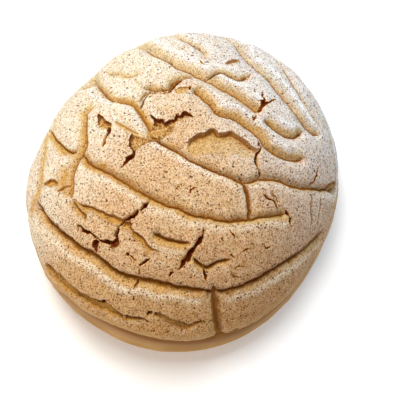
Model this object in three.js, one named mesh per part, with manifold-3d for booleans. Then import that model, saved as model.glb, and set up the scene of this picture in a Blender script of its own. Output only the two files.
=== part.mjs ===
// A concha: a domed sweet bun under a cap of sugar paste that is scored in curved lines and cracked by baking.
// Millimetres, +Z up. The origin is on the floor, under the middle of the bun.

import * as THREE from "three";
import { ParametricGeometry } from "three/addons/geometries/ParametricGeometry.js";
import { mergeVertices } from "three/addons/utils/BufferGeometryUtils.js";
import Module from "manifold-3d";

// The bun's outer skin. A latitude of 0 is its crown, 1 its belt, 2 the foot's rim and 3 the foot's middle.
const meanRadius = 60; // half of the mean width in plan
const bunHeight = 56;
const beltHeight = 15.5; // where the bun is widest
const footRadius = 42.5; // the flat spot that it rests on
const domeFullness = 2.3; // exponent of the dome's curve: 2 is an ellipse, more is fuller
const planWaves = [
  { lobes: 2, swing: 3.7, towardsDeg: 66 }, // the bun is a little oval
  { lobes: 3, swing: 0.5, towardsDeg: 56 },
  { lobes: 4, swing: 0.5, towardsDeg: 5 },
];

// The sugar paste
const pasteThickness = 4;
const pasteEdgeThickness = 2.8;
const pasteEdge = 0.96; // mean latitude of its lower edge
const pasteThinsFrom = 0.84; // latitude below which it thins towards the edge
const pasteGap = 0.3; // between the paste and the bread
const edgeWaves = [
  { lobes: 2, swing: 0.035, towardsDeg: 0 }, // the edge comes lower at the two sides
  { lobes: 3, swing: 0.008, towardsDeg: 20 },
  { lobes: 5, swing: 0.006, towardsDeg: 70 },
];

// How finely the surfaces are divided
const slices = 60;
const outerRows = 18;
const innerRows = 9;
const cutterStep = 4;

// Marks are laid out as they are seen from the front, to the right of and above the sight's middle, and are
// dropped onto the dome along the lines of sight.
const sightElevationDeg = 65;
const sightDistance = 600;
const sightMiddleHeight = 15;
const sightMarch = 0.5; // step along a line of sight
const sightReach = 90; // how far before and behind the sight's middle it is searched

// Lines scored into the paste
const scoredLines = {
  belly: {
    width: 4.5,
    depth: 2.7,
    route: [[-57, -2.5], [-40, -21], [-15, -33], [11.5, -37], [37.5, -27], [51, -15]],
  },
  waist: {
    width: 4.5,
    depth: 2.5,
    route: [[-38, 12.5], [-17, 0], [2, -9], [12.5, -10.5], [24.5, -10.5], [37.5, -7.5]],
  },
  shoulder: {
    width: 4.2,
    depth: 2.5,
    route: [[-12.5, 19.5], [5.5, 9], [22.5, 3], [28.5, 4.5], [37.5, 3], [57, 0]],
  },
  leftUpright: {
    width: 3,
    depth: 2.4,
    route: [[-32.5, 32.5], [-37, 29], [-37, 21], [-41.5, 9], [-43, 0.5]],
  },
  arm: {
    width: 4,
    depth: 2.5,
    route: [[-42.5, -1.5], [-38.5, -4.5], [-32, -6], [-26, -9.5], [-21.5, -10.5]],
  },
  arcA: {
    width: 4.2,
    depth: 2.5,
    route: [[4, 38], [10, 32.5], [24.5, 24], [29.5, 18.5], [35.5, 14], [44, 11]],
  },
  arcB: { width: 4.2, depth: 2.5, route: [[-14, 56], [5, 44.5], [27, 29.5]] },
  arcBEnd: { width: 3.4, depth: 2.2, route: [[30.5, 27.5], [35.5, 23], [42.5, 20.5]] },
  arcC: { width: 4, depth: 2.4, route: [[19, 54.5], [32.5, 40.5], [50, 18.5]] },
  arcD: { width: 3.2, depth: 2, route: [[26.5, 54.5], [41.5, 37.5], [52.5, 16]] },
  arcE: { width: 3, depth: 1.8, route: [[35, 50], [50, 29], [55, 17]] },
  topFar: { width: 4, depth: 2, route: [[-6.5, 58.5], [0, 57], [5.5, 54]] },
  hook: { width: 3.2, depth: 2, route: [[8, 45], [14, 45.5], [19, 42.5], [23, 42.5]] },
  shelf: { width: 3, depth: 2, route: [[-17, 41], [-5.5, 38]] },
  leftUpper: { width: 4.5, depth: 2.4, route: [[-34.5, 42.5], [-32, 37.5], [-26.5, 34.5], [-18.5, 32]] },
  leftUpperTail: { width: 2.4, depth: 2.2, route: [[-17.5, 31.5], [-16, 27.5], [-13, 23]] },
  leftNotch: { width: 3.2, depth: 2.2, route: [[-51, 22.5], [-45, 16], [-38.5, 13.5]] },
  leftPit: { width: 3.4, depth: 2.2, route: [[-53, 6], [-46, 1], [-43, 1.5]] },
  leftRim: { width: 3, depth: 1.5, route: [[-51, 21.5], [-54, 4.5], [-55.5, -3]] },
  innerArm: { width: 3.6, depth: 2.2, route: [[-21, -10.5], [-18.5, -15.5], [-8.5, -22.5]] },
  slit: { width: 2.2, depth: 1.8, route: [[-12.5, -15], [-1, -19.5]] },
  smile: { width: 2.6, depth: 2.2, route: [[2, -26], [7, -27.5], [15, -26]] },
  uprightMid: { width: 2.4, depth: 2.7, route: [[22, 3], [23.5, -1.5], [24, -9.5]] },
  uprightLow: { width: 3.6, depth: 2.6, route: [[10.5, -37.5], [12, -55]] },
};

// The same scoring carried on round the back, by azimuth in degrees from +X and height
const scoredLinesBehind = {
  arcF: { width: 3.4, depth: 2.2, route: [[98, 35], [75, 31], [48, 28], [22, 27.5]] },
  arcG: { width: 3.4, depth: 2.2, route: [[107, 31], [122, 29.5], [139, 31]] },
  arcH: { width: 3.4, depth: 2, route: [[141, 33], [155, 29.5], [172, 27]] },
  arcBTail: { width: 4.2, depth: 2.2, route: [[104, 42], [106, 35], [109, 26]] },
  leftUpperTail: { width: 4.2, depth: 2.2, route: [[134, 42], [138, 35], [144, 26]] },
};

// Breaks where the rising dough has torn the paste
const breaks = {
  bigTear: {
    width: 2.2,
    depth: 3.2,
    route: [[-12.5, 29], [-10, 26.5], [-7, 26], [-1.5, 29.5], [0.5, 30.5], [4, 29]],
  },
  tearFloor: { width: 4.5, depth: 2.2, route: [[-13, 22.5], [-6.5, 25], [-3, 27.5]] },
  junction: { width: 3.2, depth: 2.5, route: [[-20.5, 20.5], [-16.5, 20.5], [-13, 20]] },
  junctionCrack: { width: 2, depth: 3.2, route: [[-19.5, 19], [-18.5, 16], [-24, 9]] },
  leftTear: { width: 1.8, depth: 2.2, route: [[-32.5, 29.5], [-28, 24.5], [-28, 22.5], [-30.5, 18]] },
  yStem: { width: 1.8, depth: 3, route: [[-13.5, -3.5], [-19.5, -9], [-23, -10.5], [-25.5, -17.5]] },
  yFoot: { width: 2, depth: 3, route: [[-25, -18], [-28, -19.5], [-34, -17.5], [-34, -22]] },
  slash: { width: 2.2, depth: 3.2, route: [[6.5, -17], [1, -24.5], [-3, -29]] },
  eyeCrack: { width: 1.5, depth: 2.4, route: [[29.5, 16.5], [27, 13], [28.5, 4.5]] },
  pitRight: { width: 2.2, depth: 2.8, route: [[31, 34], [29.5, 32], [28, 29.5]] },
  shelfCrack: { width: 1.6, depth: 2.2, route: [[-5, 38.5], [-3, 41], [3, 43]] },
  tier: {
    width: 2.6,
    depth: 1.6,
    route: [[-54, -25.5], [-37.5, -38], [-30.5, -41], [-23.5, -45.5], [-6.5, -47.5], [1, -50], [9, -48.5]],
  },
};

// The shallow hollow beside the crown, where the paste has sunk
const hollow = { middle: [15, 17], length: 27, width: 10.5, depth: 1.7, turnDeg: -7 };

const wasm = await Module();
wasm.setup();

const radians = THREE.MathUtils.degToRad;
const wave = (waves, angle) =>
  waves.reduce((sum, w) => sum + w.swing * Math.cos(w.lobes * (angle - radians(w.towardsDeg))), 0);
const planScale = (angle) => 1 + wave(planWaves, angle) / meanRadius;

// The skin's outline on a mean radius, as [radius, height], from the crown down to the middle of the foot.
function outline(latitude) {
  const turn = ((latitude % 1) * Math.PI) / 2;
  if (latitude < 1) {
    const power = 2 / domeFullness;
    const rise = (bunHeight - beltHeight) * Math.cos(turn) ** power;
    return new THREE.Vector2(meanRadius * Math.sin(turn) ** power, beltHeight + rise);
  }
  if (latitude < 2) {
    const overhang = meanRadius - footRadius;
    return new THREE.Vector2(footRadius + overhang * Math.cos(turn), beltHeight * (1 - Math.sin(turn)));
  }
  return new THREE.Vector2(footRadius * (3 - latitude), 0);
}

// A point at a depth below the skin, measured square to the outline.
function skinPoint(latitude, angle, depth, target = new THREE.Vector3()) {
  const nudge = 0.001;
  const point = outline(latitude);
  if (latitude < nudge) {
    point.set(0, bunHeight - depth);
  } else if (depth > 0) {
    const along = outline(latitude + nudge).sub(outline(latitude - nudge)).normalize();
    point.x += along.y * depth;
    point.y -= along.x * depth;
  }
  const radius = point.x * planScale(angle);
  return target.set(radius * Math.cos(angle), radius * Math.sin(angle), point.y);
}

// Negative inside the skin, zero on it, positive outside.
function skinLevel(point) {
  const radius = Math.hypot(point.x, point.y) / planScale(Math.atan2(point.y, point.x));
  if (point.z >= beltHeight) {
    const rise = (point.z - beltHeight) / (bunHeight - beltHeight);
    return (radius / meanRadius) ** domeFullness + rise ** domeFullness - 1;
  }
  const overhang = Math.max(radius - footRadius, 0) / (meanRadius - footRadius);
  return overhang ** 2 + ((beltHeight - point.z) / beltHeight) ** 2 - 1;
}

function skinNormal(point) {
  const nudge = 0.05;
  const slope = ["x", "y", "z"].map((axis) => {
    const ahead = point.clone();
    const behind = point.clone();
    ahead[axis] += nudge;
    behind[axis] -= nudge;
    return skinLevel(ahead) - skinLevel(behind);
  });
  return new THREE.Vector3(...slope).normalize();
}

// The lines of sight: a middle point, the directions right and up across it, and the eye.
const sightElevation = radians(sightElevationDeg);
const sightMiddle = new THREE.Vector3(0, 0, sightMiddleHeight);
const sightRight = new THREE.Vector3(1, 0, 0);
const sightUp = new THREE.Vector3(0, Math.sin(sightElevation), Math.cos(sightElevation));
const eye = new THREE.Vector3(0, -Math.cos(sightElevation), Math.sin(sightElevation))
  .multiplyScalar(sightDistance)
  .add(sightMiddle);

// The first point of the skin on a line of sight. A mark just past the outline is drawn in until it lands.
function seenAt([right, up]) {
  const drawIn = 0.985;
  for (let reach = 1; reach > 0.5; reach *= drawIn) {
    const aim = sightMiddle
      .clone()
      .addScaledVector(sightRight, right * reach)
      .addScaledVector(sightUp, up * reach);
    const towardsEye = eye.clone().sub(aim).normalize();
    for (let along = sightReach; along > -sightReach; along -= sightMarch) {
      if (skinLevel(aim.clone().addScaledVector(towardsEye, along)) > 0) continue;
      let [inside, outside] = [along, along + sightMarch];
      while (outside - inside > 0.001) {
        const half = (inside + outside) / 2;
        if (skinLevel(aim.clone().addScaledVector(towardsEye, half)) > 0) outside = half;
        else inside = half;
      }
      return aim.addScaledVector(towardsEye, inside);
    }
  }
  throw new Error(`no skin is seen at ${right}, ${up}`);
}

// The point of the dome at an azimuth and a height.
function turnedTo([azimuthDeg, height]) {
  const angle = radians(azimuthDeg);
  const rise = (height - beltHeight) / (bunHeight - beltHeight);
  const radius = meanRadius * planScale(angle) * (1 - rise ** domeFullness) ** (1 / domeFullness);
  return new THREE.Vector3(radius * Math.cos(angle), radius * Math.sin(angle), height);
}

// Cross-sections of the cutters, as [across, above the skin] for a half width and a depth of 1
const skinClearance = 1.5;
const scoreSection = [
  [-1.5, skinClearance],
  [-0.95, 0],
  [-0.3, -1],
  [0.3, -1],
  [0.95, 0],
  [1.5, skinClearance],
];
const breakSection = [
  [-1.3, skinClearance],
  [-0.9, 0],
  [0, -1],
  [0.9, 0],
  [1.3, skinClearance],
];

// A solid that runs along a line on the skin and bites into the paste, shallower at its two ends.
function cutterAlong(points, section, width, depth) {
  const endShare = { bite: 0.3, width: 0.7 };
  const corners = section.length;
  const positions = [];
  points.forEach((point, i) => {
    const ahead = points[Math.min(i + 1, points.length - 1)];
    const behind = points[Math.max(i - 1, 0)];
    const normal = skinNormal(point);
    const along = ahead.clone().sub(behind).normalize();
    const across = normal.clone().cross(along).normalize();
    const isEnd = i === 0 || i === points.length - 1;
    const bite = depth * (isEnd ? endShare.bite : 1);
    const reach = (width / 2) * (isEnd ? endShare.width : 1);
    for (const [x, y] of section) {
      const height = y < 0 ? y * bite : y;
      const corner = point.clone().addScaledVector(across, x * reach).addScaledVector(normal, height);
      positions.push(...corner);
    }
  });
  const triangles = [];
  for (let ring = 0; ring + 1 < points.length; ring++) {
    for (let k = 0; k < corners; k++) {
      const a = ring * corners + k;
      const b = ring * corners + ((k + 1) % corners);
      triangles.push(a, b, b + corners, a, b + corners, a + corners);
    }
  }
  const last = (points.length - 1) * corners;
  for (let k = 1; k + 1 < corners; k++) {
    triangles.push(0, k + 1, k, last, last + k, last + k + 1);
  }
  const geometry = new THREE.BufferGeometry();
  geometry.setAttribute("position", new THREE.Float32BufferAttribute(positions, 3));
  geometry.setIndex(triangles);
  return geometry;
}

// Evenly spaced places on a smooth line through a route.
function smoothRoute(route) {
  const line = new THREE.SplineCurve(route.map((place) => new THREE.Vector2(...place)));
  const steps = Math.max(3, Math.round(line.getLength() / cutterStep));
  return line.getSpacedPoints(steps).map((place) => place.toArray());
}

// An ellipsoid that dips into the skin.
function hollowCutter({ middle, length, width, depth, turnDeg }) {
  const dip = 0.5; // share of the ellipsoid's half height that is below the skin
  const halfHeight = depth / dip;
  const spread = 1 / Math.sqrt(1 - (1 - dip) ** 2);
  const point = seenAt(middle);
  const normal = skinNormal(point);
  const across = sightRight.clone().applyAxisAngle(normal, radians(turnDeg));
  const up = normal.clone().cross(across).normalize();
  across.crossVectors(up, normal);
  const place = new THREE.Matrix4()
    .makeBasis(across, up, normal)
    .setPosition(point.addScaledVector(normal, halfHeight - depth))
    .scale(new THREE.Vector3((length / 2) * spread, (width / 2) * spread, halfHeight));
  return new THREE.SphereGeometry(1, 20, 12).applyMatrix4(place);
}

// A closed geometry as a solid that can be cut.
function solidOf(geometry) {
  const bare = geometry.clone();
  bare.deleteAttribute("normal");
  bare.deleteAttribute("uv");
  const merged = mergeVertices(bare, 1e-4);
  const triangles = [];
  const corner = merged.index.array;
  for (let i = 0; i < corner.length; i += 3) {
    const [a, b, c] = corner.slice(i, i + 3);
    if (a !== b && b !== c && c !== a) triangles.push(a, b, c);
  }
  return new wasm.Manifold(
    new wasm.Mesh({
      numProp: 3,
      vertProperties: merged.attributes.position.array,
      triVerts: new Uint32Array(triangles),
    }),
  );
}

function geometryOf(solid) {
  const { vertProperties, triVerts } = solid.getMesh();
  const geometry = new THREE.BufferGeometry();
  geometry.setAttribute("position", new THREE.BufferAttribute(vertProperties, 3));
  geometry.setIndex(new THREE.BufferAttribute(triVerts, 1));
  geometry.computeVertexNormals();
  return geometry;
}

// A body of revolution with an uneven plan: stations of latitude and depth, carried round the axis.
function revolved(stations) {
  const last = stations.length - 1;
  const place = (u, v, target) => {
    const { latitude, depth } = stations[Math.round(v * last)];
    const angle = (2 * Math.PI * (Math.round(u * slices) % slices)) / slices;
    const hold = Math.min(latitude / pasteEdge, 1) * THREE.MathUtils.clamp(2 - latitude, 0, 1);
    skinPoint(latitude + wave(edgeWaves, angle) * hold, angle, depth, target);
  };
  return new ParametricGeometry(place, slices, last);
}

function pasteDepth(latitude) {
  const thinned = THREE.MathUtils.smoothstep(latitude, pasteThinsFrom, pasteEdge);
  return THREE.MathUtils.lerp(pasteThickness, pasteEdgeThickness, thinned);
}

function evenly(count, from, to) {
  return Array.from({ length: count + 1 }, (_, i) => THREE.MathUtils.lerp(from, to, i / count));
}

// The bread: a flat foot, a bulging side, and a dome that is lower under the paste by the paste's thickness.
function breadGeometry() {
  const foot = [3, 2.5].map((latitude) => ({ latitude, depth: 0 }));
  const side = evenly(8, 2, pasteEdge + 0.2).map((latitude) => ({ latitude, depth: 0 }));
  const ledge = [
    { latitude: pasteEdge + 0.1, depth: 0.5 },
    { latitude: pasteEdge + 0.04, depth: 1.3 },
    { latitude: pasteEdge + 0.022, depth: 2.3 },
  ];
  const dome = evenly(innerRows, pasteEdge + 0.012, 0).map((latitude) => ({
    latitude,
    depth: pasteDepth(latitude) + pasteGap,
  }));
  return revolved([...foot, ...side, ...ledge, ...dome]);
}

// The paste before it is scored: an even cap with a rounded lower edge.
function pasteGeometry() {
  const inner = evenly(innerRows, 0, pasteEdge).map((latitude) => ({
    latitude,
    depth: pasteDepth(latitude),
  }));
  const lip = [
    { latitude: pasteEdge + 0.008, depth: pasteEdgeThickness * 0.72 },
    { latitude: pasteEdge + 0.008, depth: pasteEdgeThickness * 0.36 },
    { latitude: pasteEdge - 0.002, depth: pasteEdgeThickness * 0.08 },
  ];
  const outer = evenly(outerRows, pasteEdge - 0.02, 0).map((latitude) => ({ latitude, depth: 0 }));
  return revolved([...inner, ...lip, ...outer]);
}

function scoredPaste() {
  const cutters = [hollowCutter(hollow)];
  for (const { route, width, depth } of Object.values(scoredLines)) {
    cutters.push(cutterAlong(smoothRoute(route).map(seenAt), scoreSection, width, depth));
  }
  for (const { route, width, depth } of Object.values(scoredLinesBehind)) {
    cutters.push(cutterAlong(smoothRoute(route).map(turnedTo), scoreSection, width, depth));
  }
  for (const { route, width, depth } of Object.values(breaks)) {
    cutters.push(cutterAlong(route.map(seenAt), breakSection, width, depth));
  }
  return cutters.reduce((paste, cutter) => paste.subtract(solidOf(cutter)), solidOf(pasteGeometry()));
}

const breadCrust = new THREE.MeshStandardMaterial({ color: 0xc58f4e, roughness: 0.62, metalness: 0 });
const sugarPaste = new THREE.MeshStandardMaterial({ color: 0xe9d6b8, roughness: 0.9, metalness: 0 });

const bread = new THREE.Mesh(geometryOf(solidOf(breadGeometry())), breadCrust);
bread.name = "bread";
const topping = new THREE.Mesh(geometryOf(scoredPaste()), sugarPaste);
topping.name = "topping";

const concha = new THREE.Group();
concha.name = "concha";
concha.add(bread, topping);

export default concha;
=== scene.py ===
import bpy
import numpy as np
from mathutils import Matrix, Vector


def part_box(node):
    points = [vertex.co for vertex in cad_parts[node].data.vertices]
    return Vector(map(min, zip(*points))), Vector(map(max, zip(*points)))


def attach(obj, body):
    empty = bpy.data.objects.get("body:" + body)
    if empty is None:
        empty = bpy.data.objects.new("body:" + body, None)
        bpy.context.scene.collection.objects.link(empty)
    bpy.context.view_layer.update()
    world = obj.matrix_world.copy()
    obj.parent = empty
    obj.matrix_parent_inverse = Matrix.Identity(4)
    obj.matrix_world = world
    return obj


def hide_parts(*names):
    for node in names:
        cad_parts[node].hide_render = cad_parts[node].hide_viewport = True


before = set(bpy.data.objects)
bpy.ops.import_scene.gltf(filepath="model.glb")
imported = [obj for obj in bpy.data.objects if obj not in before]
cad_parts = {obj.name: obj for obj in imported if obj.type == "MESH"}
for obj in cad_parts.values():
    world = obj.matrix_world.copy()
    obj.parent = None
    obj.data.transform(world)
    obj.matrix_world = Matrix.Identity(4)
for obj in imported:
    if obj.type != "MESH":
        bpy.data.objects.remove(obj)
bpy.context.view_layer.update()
mm = 0.001  # shapes are worked out in millimetres, meshes are in metres

# The bun's outer skin. A latitude of 0 is its crown, 1 its belt, 2 the foot's rim and 3 the foot's middle.
bun = {
    "meanRadius": 60,
    "height": round(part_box("topping")[1][2] / mm, 2),
    "beltHeight": 15.5,
    "footRadius": 42.5,
    "fullness": 2.3,  # exponent of the dome's curve
    "planWaves": [(2, 3.7, 66), (3, 0.5, 56), (4, 0.5, 5)],  # lobes, swing, towards (degrees)
    "edgeWaves": [(2, 0.035, 0), (3, 0.008, 20), (5, 0.006, 70)],  # the paste's edge sways by latitudes
    "edgeRise": (0.06, -117, 27),  # where the edge stands higher: by latitudes, towards, spread (degrees)
    "pasteEdge": 0.96,
    "pasteThickness": 4,
    "pasteEdgeThickness": 2.8,
    "pasteThinsFrom": 0.84,
    "pasteGap": 0.3,
}

# How the bun is seen: the photo's pixel over the sight's middle, and pixels to a millimetre across it
sight = {
    "elevation": 65, "distance": 600, "middle": (0, 0, 15),
    "pixel": (185, 191.5), "pixelsPerMm": 2.66, "imageWidth": 400,
    "reach": 90, "step": 0.5, "halvings": 12,  # how a line of sight is searched for the skin
    "drawIn": 0.015,  # how fast a pixel past the outline is drawn in
    "leastSlant": 0.4,  # of the skin to the line of sight, so that no place is thrown far
    "hidden": -99,  # a pixel off the photo, for what is out of sight
}


def wave(waves, angle):
    return sum(swing * np.cos(lobes * (angle - np.radians(towards))) for lobes, swing, towards in waves)


def planScale(angle):
    return 1 + wave(bun["planWaves"], angle) / bun["meanRadius"]


def smooth(low, high, x):
    x = np.clip((x - low) / (high - low), 0, 1)
    return x * x * (3 - 2 * x)


def bell(x, width):
    return np.exp(-((x / width) ** 2))


def unit(vectors):
    return vectors / np.linalg.norm(vectors, axis=-1, keepdims=True)


# radius and height: a quarter superellipse to the belt, a quarter ellipse to the foot, and a flat disc to
# the foot's middle
def outline(latitude):
    radius, belt, foot = bun["meanRadius"], bun["beltHeight"], bun["footRadius"]
    power = 2 / bun["fullness"]
    dome = np.clip(latitude, 0, 1) * np.pi / 2
    side = np.clip(latitude - 1, 0, 1) * np.pi / 2
    under = np.clip(latitude - 2, 0, 1)
    rise = (bun["height"] - belt) * np.cos(dome) ** power
    r = np.where(latitude < 1, radius * np.sin(dome) ** power, foot + (radius - foot) * np.cos(side))
    z = np.where(latitude < 1, belt + rise, belt * (1 - np.sin(side)))
    return np.stack([np.where(latitude < 2, r, foot * (1 - under)), np.where(latitude < 2, z, 0)], -1)


# a point of the skin, sunk by a depth square to the outline, carried round the axis on the uneven plan
def skinPoint(latitude, angle, depth=0.0):
    nudge = 0.001
    latitude, angle, depth = np.broadcast_arrays(latitude, angle, depth)
    r, z = np.moveaxis(outline(latitude), -1, 0)
    along = unit(outline(latitude + nudge) - outline(np.maximum(latitude - nudge, 0)))
    crown = latitude < nudge
    r = np.where(crown, 0, r + along[..., 1] * depth) * planScale(angle)
    z = np.where(crown, bun["height"] - depth, z - along[..., 0] * depth)
    return np.stack([r * np.cos(angle), r * np.sin(angle), z], -1)


# below 0 inside the skin, 0 on it, above 0 outside
def skinLevel(p):
    radius, belt, foot, power = bun["meanRadius"], bun["beltHeight"], bun["footRadius"], bun["fullness"]
    r = np.hypot(p[..., 0], p[..., 1]) / planScale(np.arctan2(p[..., 1], p[..., 0]))
    rise = np.maximum(p[..., 2] - belt, 0) / (bun["height"] - belt)
    drop = np.maximum(belt - p[..., 2], 0) / belt
    out = np.maximum(r - foot, 0) / (radius - foot)
    return np.where(p[..., 2] >= belt, (r / radius) ** power + rise**power, out**2 + drop**2) - 1


def skinNormal(p):
    nudge = 0.05 * np.eye(3)
    return unit(np.stack([skinLevel(p + axis) - skinLevel(p - axis) for axis in nudge], -1))


tilt = np.radians(sight["elevation"])
sightRight = np.array([1.0, 0, 0])
sightUp = np.array([0, np.sin(tilt), np.cos(tilt)])
sightBack = np.array([0, -np.cos(tilt), np.sin(tilt)])
sightMiddle = np.array(sight["middle"], float)
eye = sightMiddle + sight["distance"] * sightBack


# places on the plane through the sight's middle, for pixels of the photo
def sightPlane(pixels):
    offset = (np.array(pixels, float) - sight["pixel"]) / sight["pixelsPerMm"]
    return sightMiddle + offset[:, :1] * sightRight - offset[:, 1:] * sightUp


# pixels of the photo at which points are seen
def toPixels(points):
    away = points - eye
    away = away * (sight["distance"] / -(away @ sightBack))[:, None]
    offset = np.stack([away @ sightRight, -(away @ sightUp)], -1)
    return np.array(sight["pixel"]) + offset * sight["pixelsPerMm"]


# first point of the skin on the line of sight of each pixel, found by steps and then by halving; a pixel
# just past the outline is drawn in until it lands
def seenAt(pixels):
    aim = sightPlane(pixels)
    steps = np.arange(sight["reach"], -sight["reach"], -sight["step"])
    while True:
        toEye = unit(eye - aim)
        inside = skinLevel(aim[:, None] + steps[:, None] * toEye[:, None]) < 0
        missed = ~inside.any(1)
        if not missed.any():
            break
        aim[missed] += sight["drawIn"] * (sightMiddle - aim[missed])
    deep = steps[inside.argmax(1)]
    out = deep + sight["step"]
    for _ in range(sight["halvings"]):
        half = (deep + out) / 2
        clear = skinLevel(aim + half[:, None] * toEye) > 0
        deep, out = np.where(clear, deep, half), np.where(clear, half, out)
    return aim + deep[:, None] * toEye


# point of the dome at each azimuth (degrees) and height
def turnedTo(places):
    angle, height = np.radians(np.array(places, float)).T[0], np.array(places, float).T[1]
    rise = (height - bun["beltHeight"]) / (bun["height"] - bun["beltHeight"])
    r = bun["meanRadius"] * planScale(angle) * (1 - rise ** bun["fullness"]) ** (1 / bun["fullness"])
    return np.stack([r * np.cos(angle), r * np.sin(angle), height], -1)


# length of a line up to each of its points
def runAlong(line):
    return np.concatenate([[0], np.cumsum(np.linalg.norm(np.diff(line, axis=0), axis=1))])


def evenly(line, spacing):
    run = runAlong(line)
    stops = np.linspace(0, run[-1], max(4, int(run[-1] / spacing)))
    return np.stack([np.interp(stops, run, line[:, k]) for k in range(line.shape[1])], -1)


# even places on a Catmull-Rom line through a route
def smoothLine(route, spacing, parts=24):
    ends = [2 * route[0] - route[1], *route, 2 * route[-1] - route[-2]]
    a, b, c, d = (np.array(ends[i : len(ends) - 3 + i])[:, None] for i in range(4))
    t = np.linspace(0, 1, parts, endpoint=False)[None, :, None]
    line = b + t * (c - a) / 2 + t**2 * (2 * a - 5 * b + 4 * c - d) / 2 + t**3 * (3 * b - a - 3 * c + d) / 2
    return evenly(np.vstack([line.reshape(-1, route.shape[1]), route[-1]]), spacing)


# lattice noise from -1 to 1: seeded values at the corners of cubes, blended by a smooth step
def lumps(points, size, seed):
    cell = points / size
    cell = cell - np.floor(cell.min(0))
    corner = np.floor(cell).astype(int)
    part = cell - corner
    part = part * part * (3 - 2 * part)
    lattice = np.random.default_rng(seed).uniform(-1, 1, corner.max(0) + 2)
    total = 0
    for step in np.ndindex(2, 2, 2):
        total = total + np.prod(np.where(step, part, 1 - part), 1) * lattice[tuple((corner + step).T)]
    return total


# sum of noises, each with a size, a height and a seed
def unevenness(points, noises):
    return sum(height * lumps(points, size, seed) for size, height, seed in noises)


# points moved about by noises, each with a size, an amount and a seed
def wander(points, noises):
    for size, amount, seed in noises:
        points = points + amount * np.stack([lumps(points, size, seed + k) for k in range(3)], -1)
    return points


# How a plate comes down to a scored line, as a share of the depth at a share of the way out: rolled like a
# pillow, cut as a wall with a clear upper edge, or slanted like a roof tile
profiles = {
    "rolled": lambda share: (1 - share) ** 2,
    "wall": lambda share: (1 - share) ** 1.25,
    "slant": lambda share: (1 - share) ** 1.15,
}
goldEnds = {"rolled": (0.0, 1.3), "wall": (0.2, 1.05), "slant": (0.0, 0.7)}  # gold fades over this way out
highlightPlace = {"rolled": 0.95, "wall": 1.2, "slant": 1.0}  # and the painted highlight on the rim sits so far out


# A line scored into the paste, through pixels of the photo, with a start or an end carried on behind the
# bun by azimuth and height. above and below are how wide the plates on its two sides come down to it, and
# how (above is to the left of the way it runs); gold is how bare of sugar those sides are, the rim highlight
# how white their rims are painted, and crease how wide the brown line of painted shade at the bottom is.
def score(route, depth, above, below, gold, crease=0.0, rimHighlight=(0.2, 0.6), start=(), end=()):
    sides = [side if isinstance(side, tuple) else (side, "rolled") for side in (above, below)]
    return {
        "route": route, "depth": depth, "sides": sides, "gold": gold, "crease": crease, "rimHighlight": rimHighlight,
        "start": start, "end": end,
    }


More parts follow.
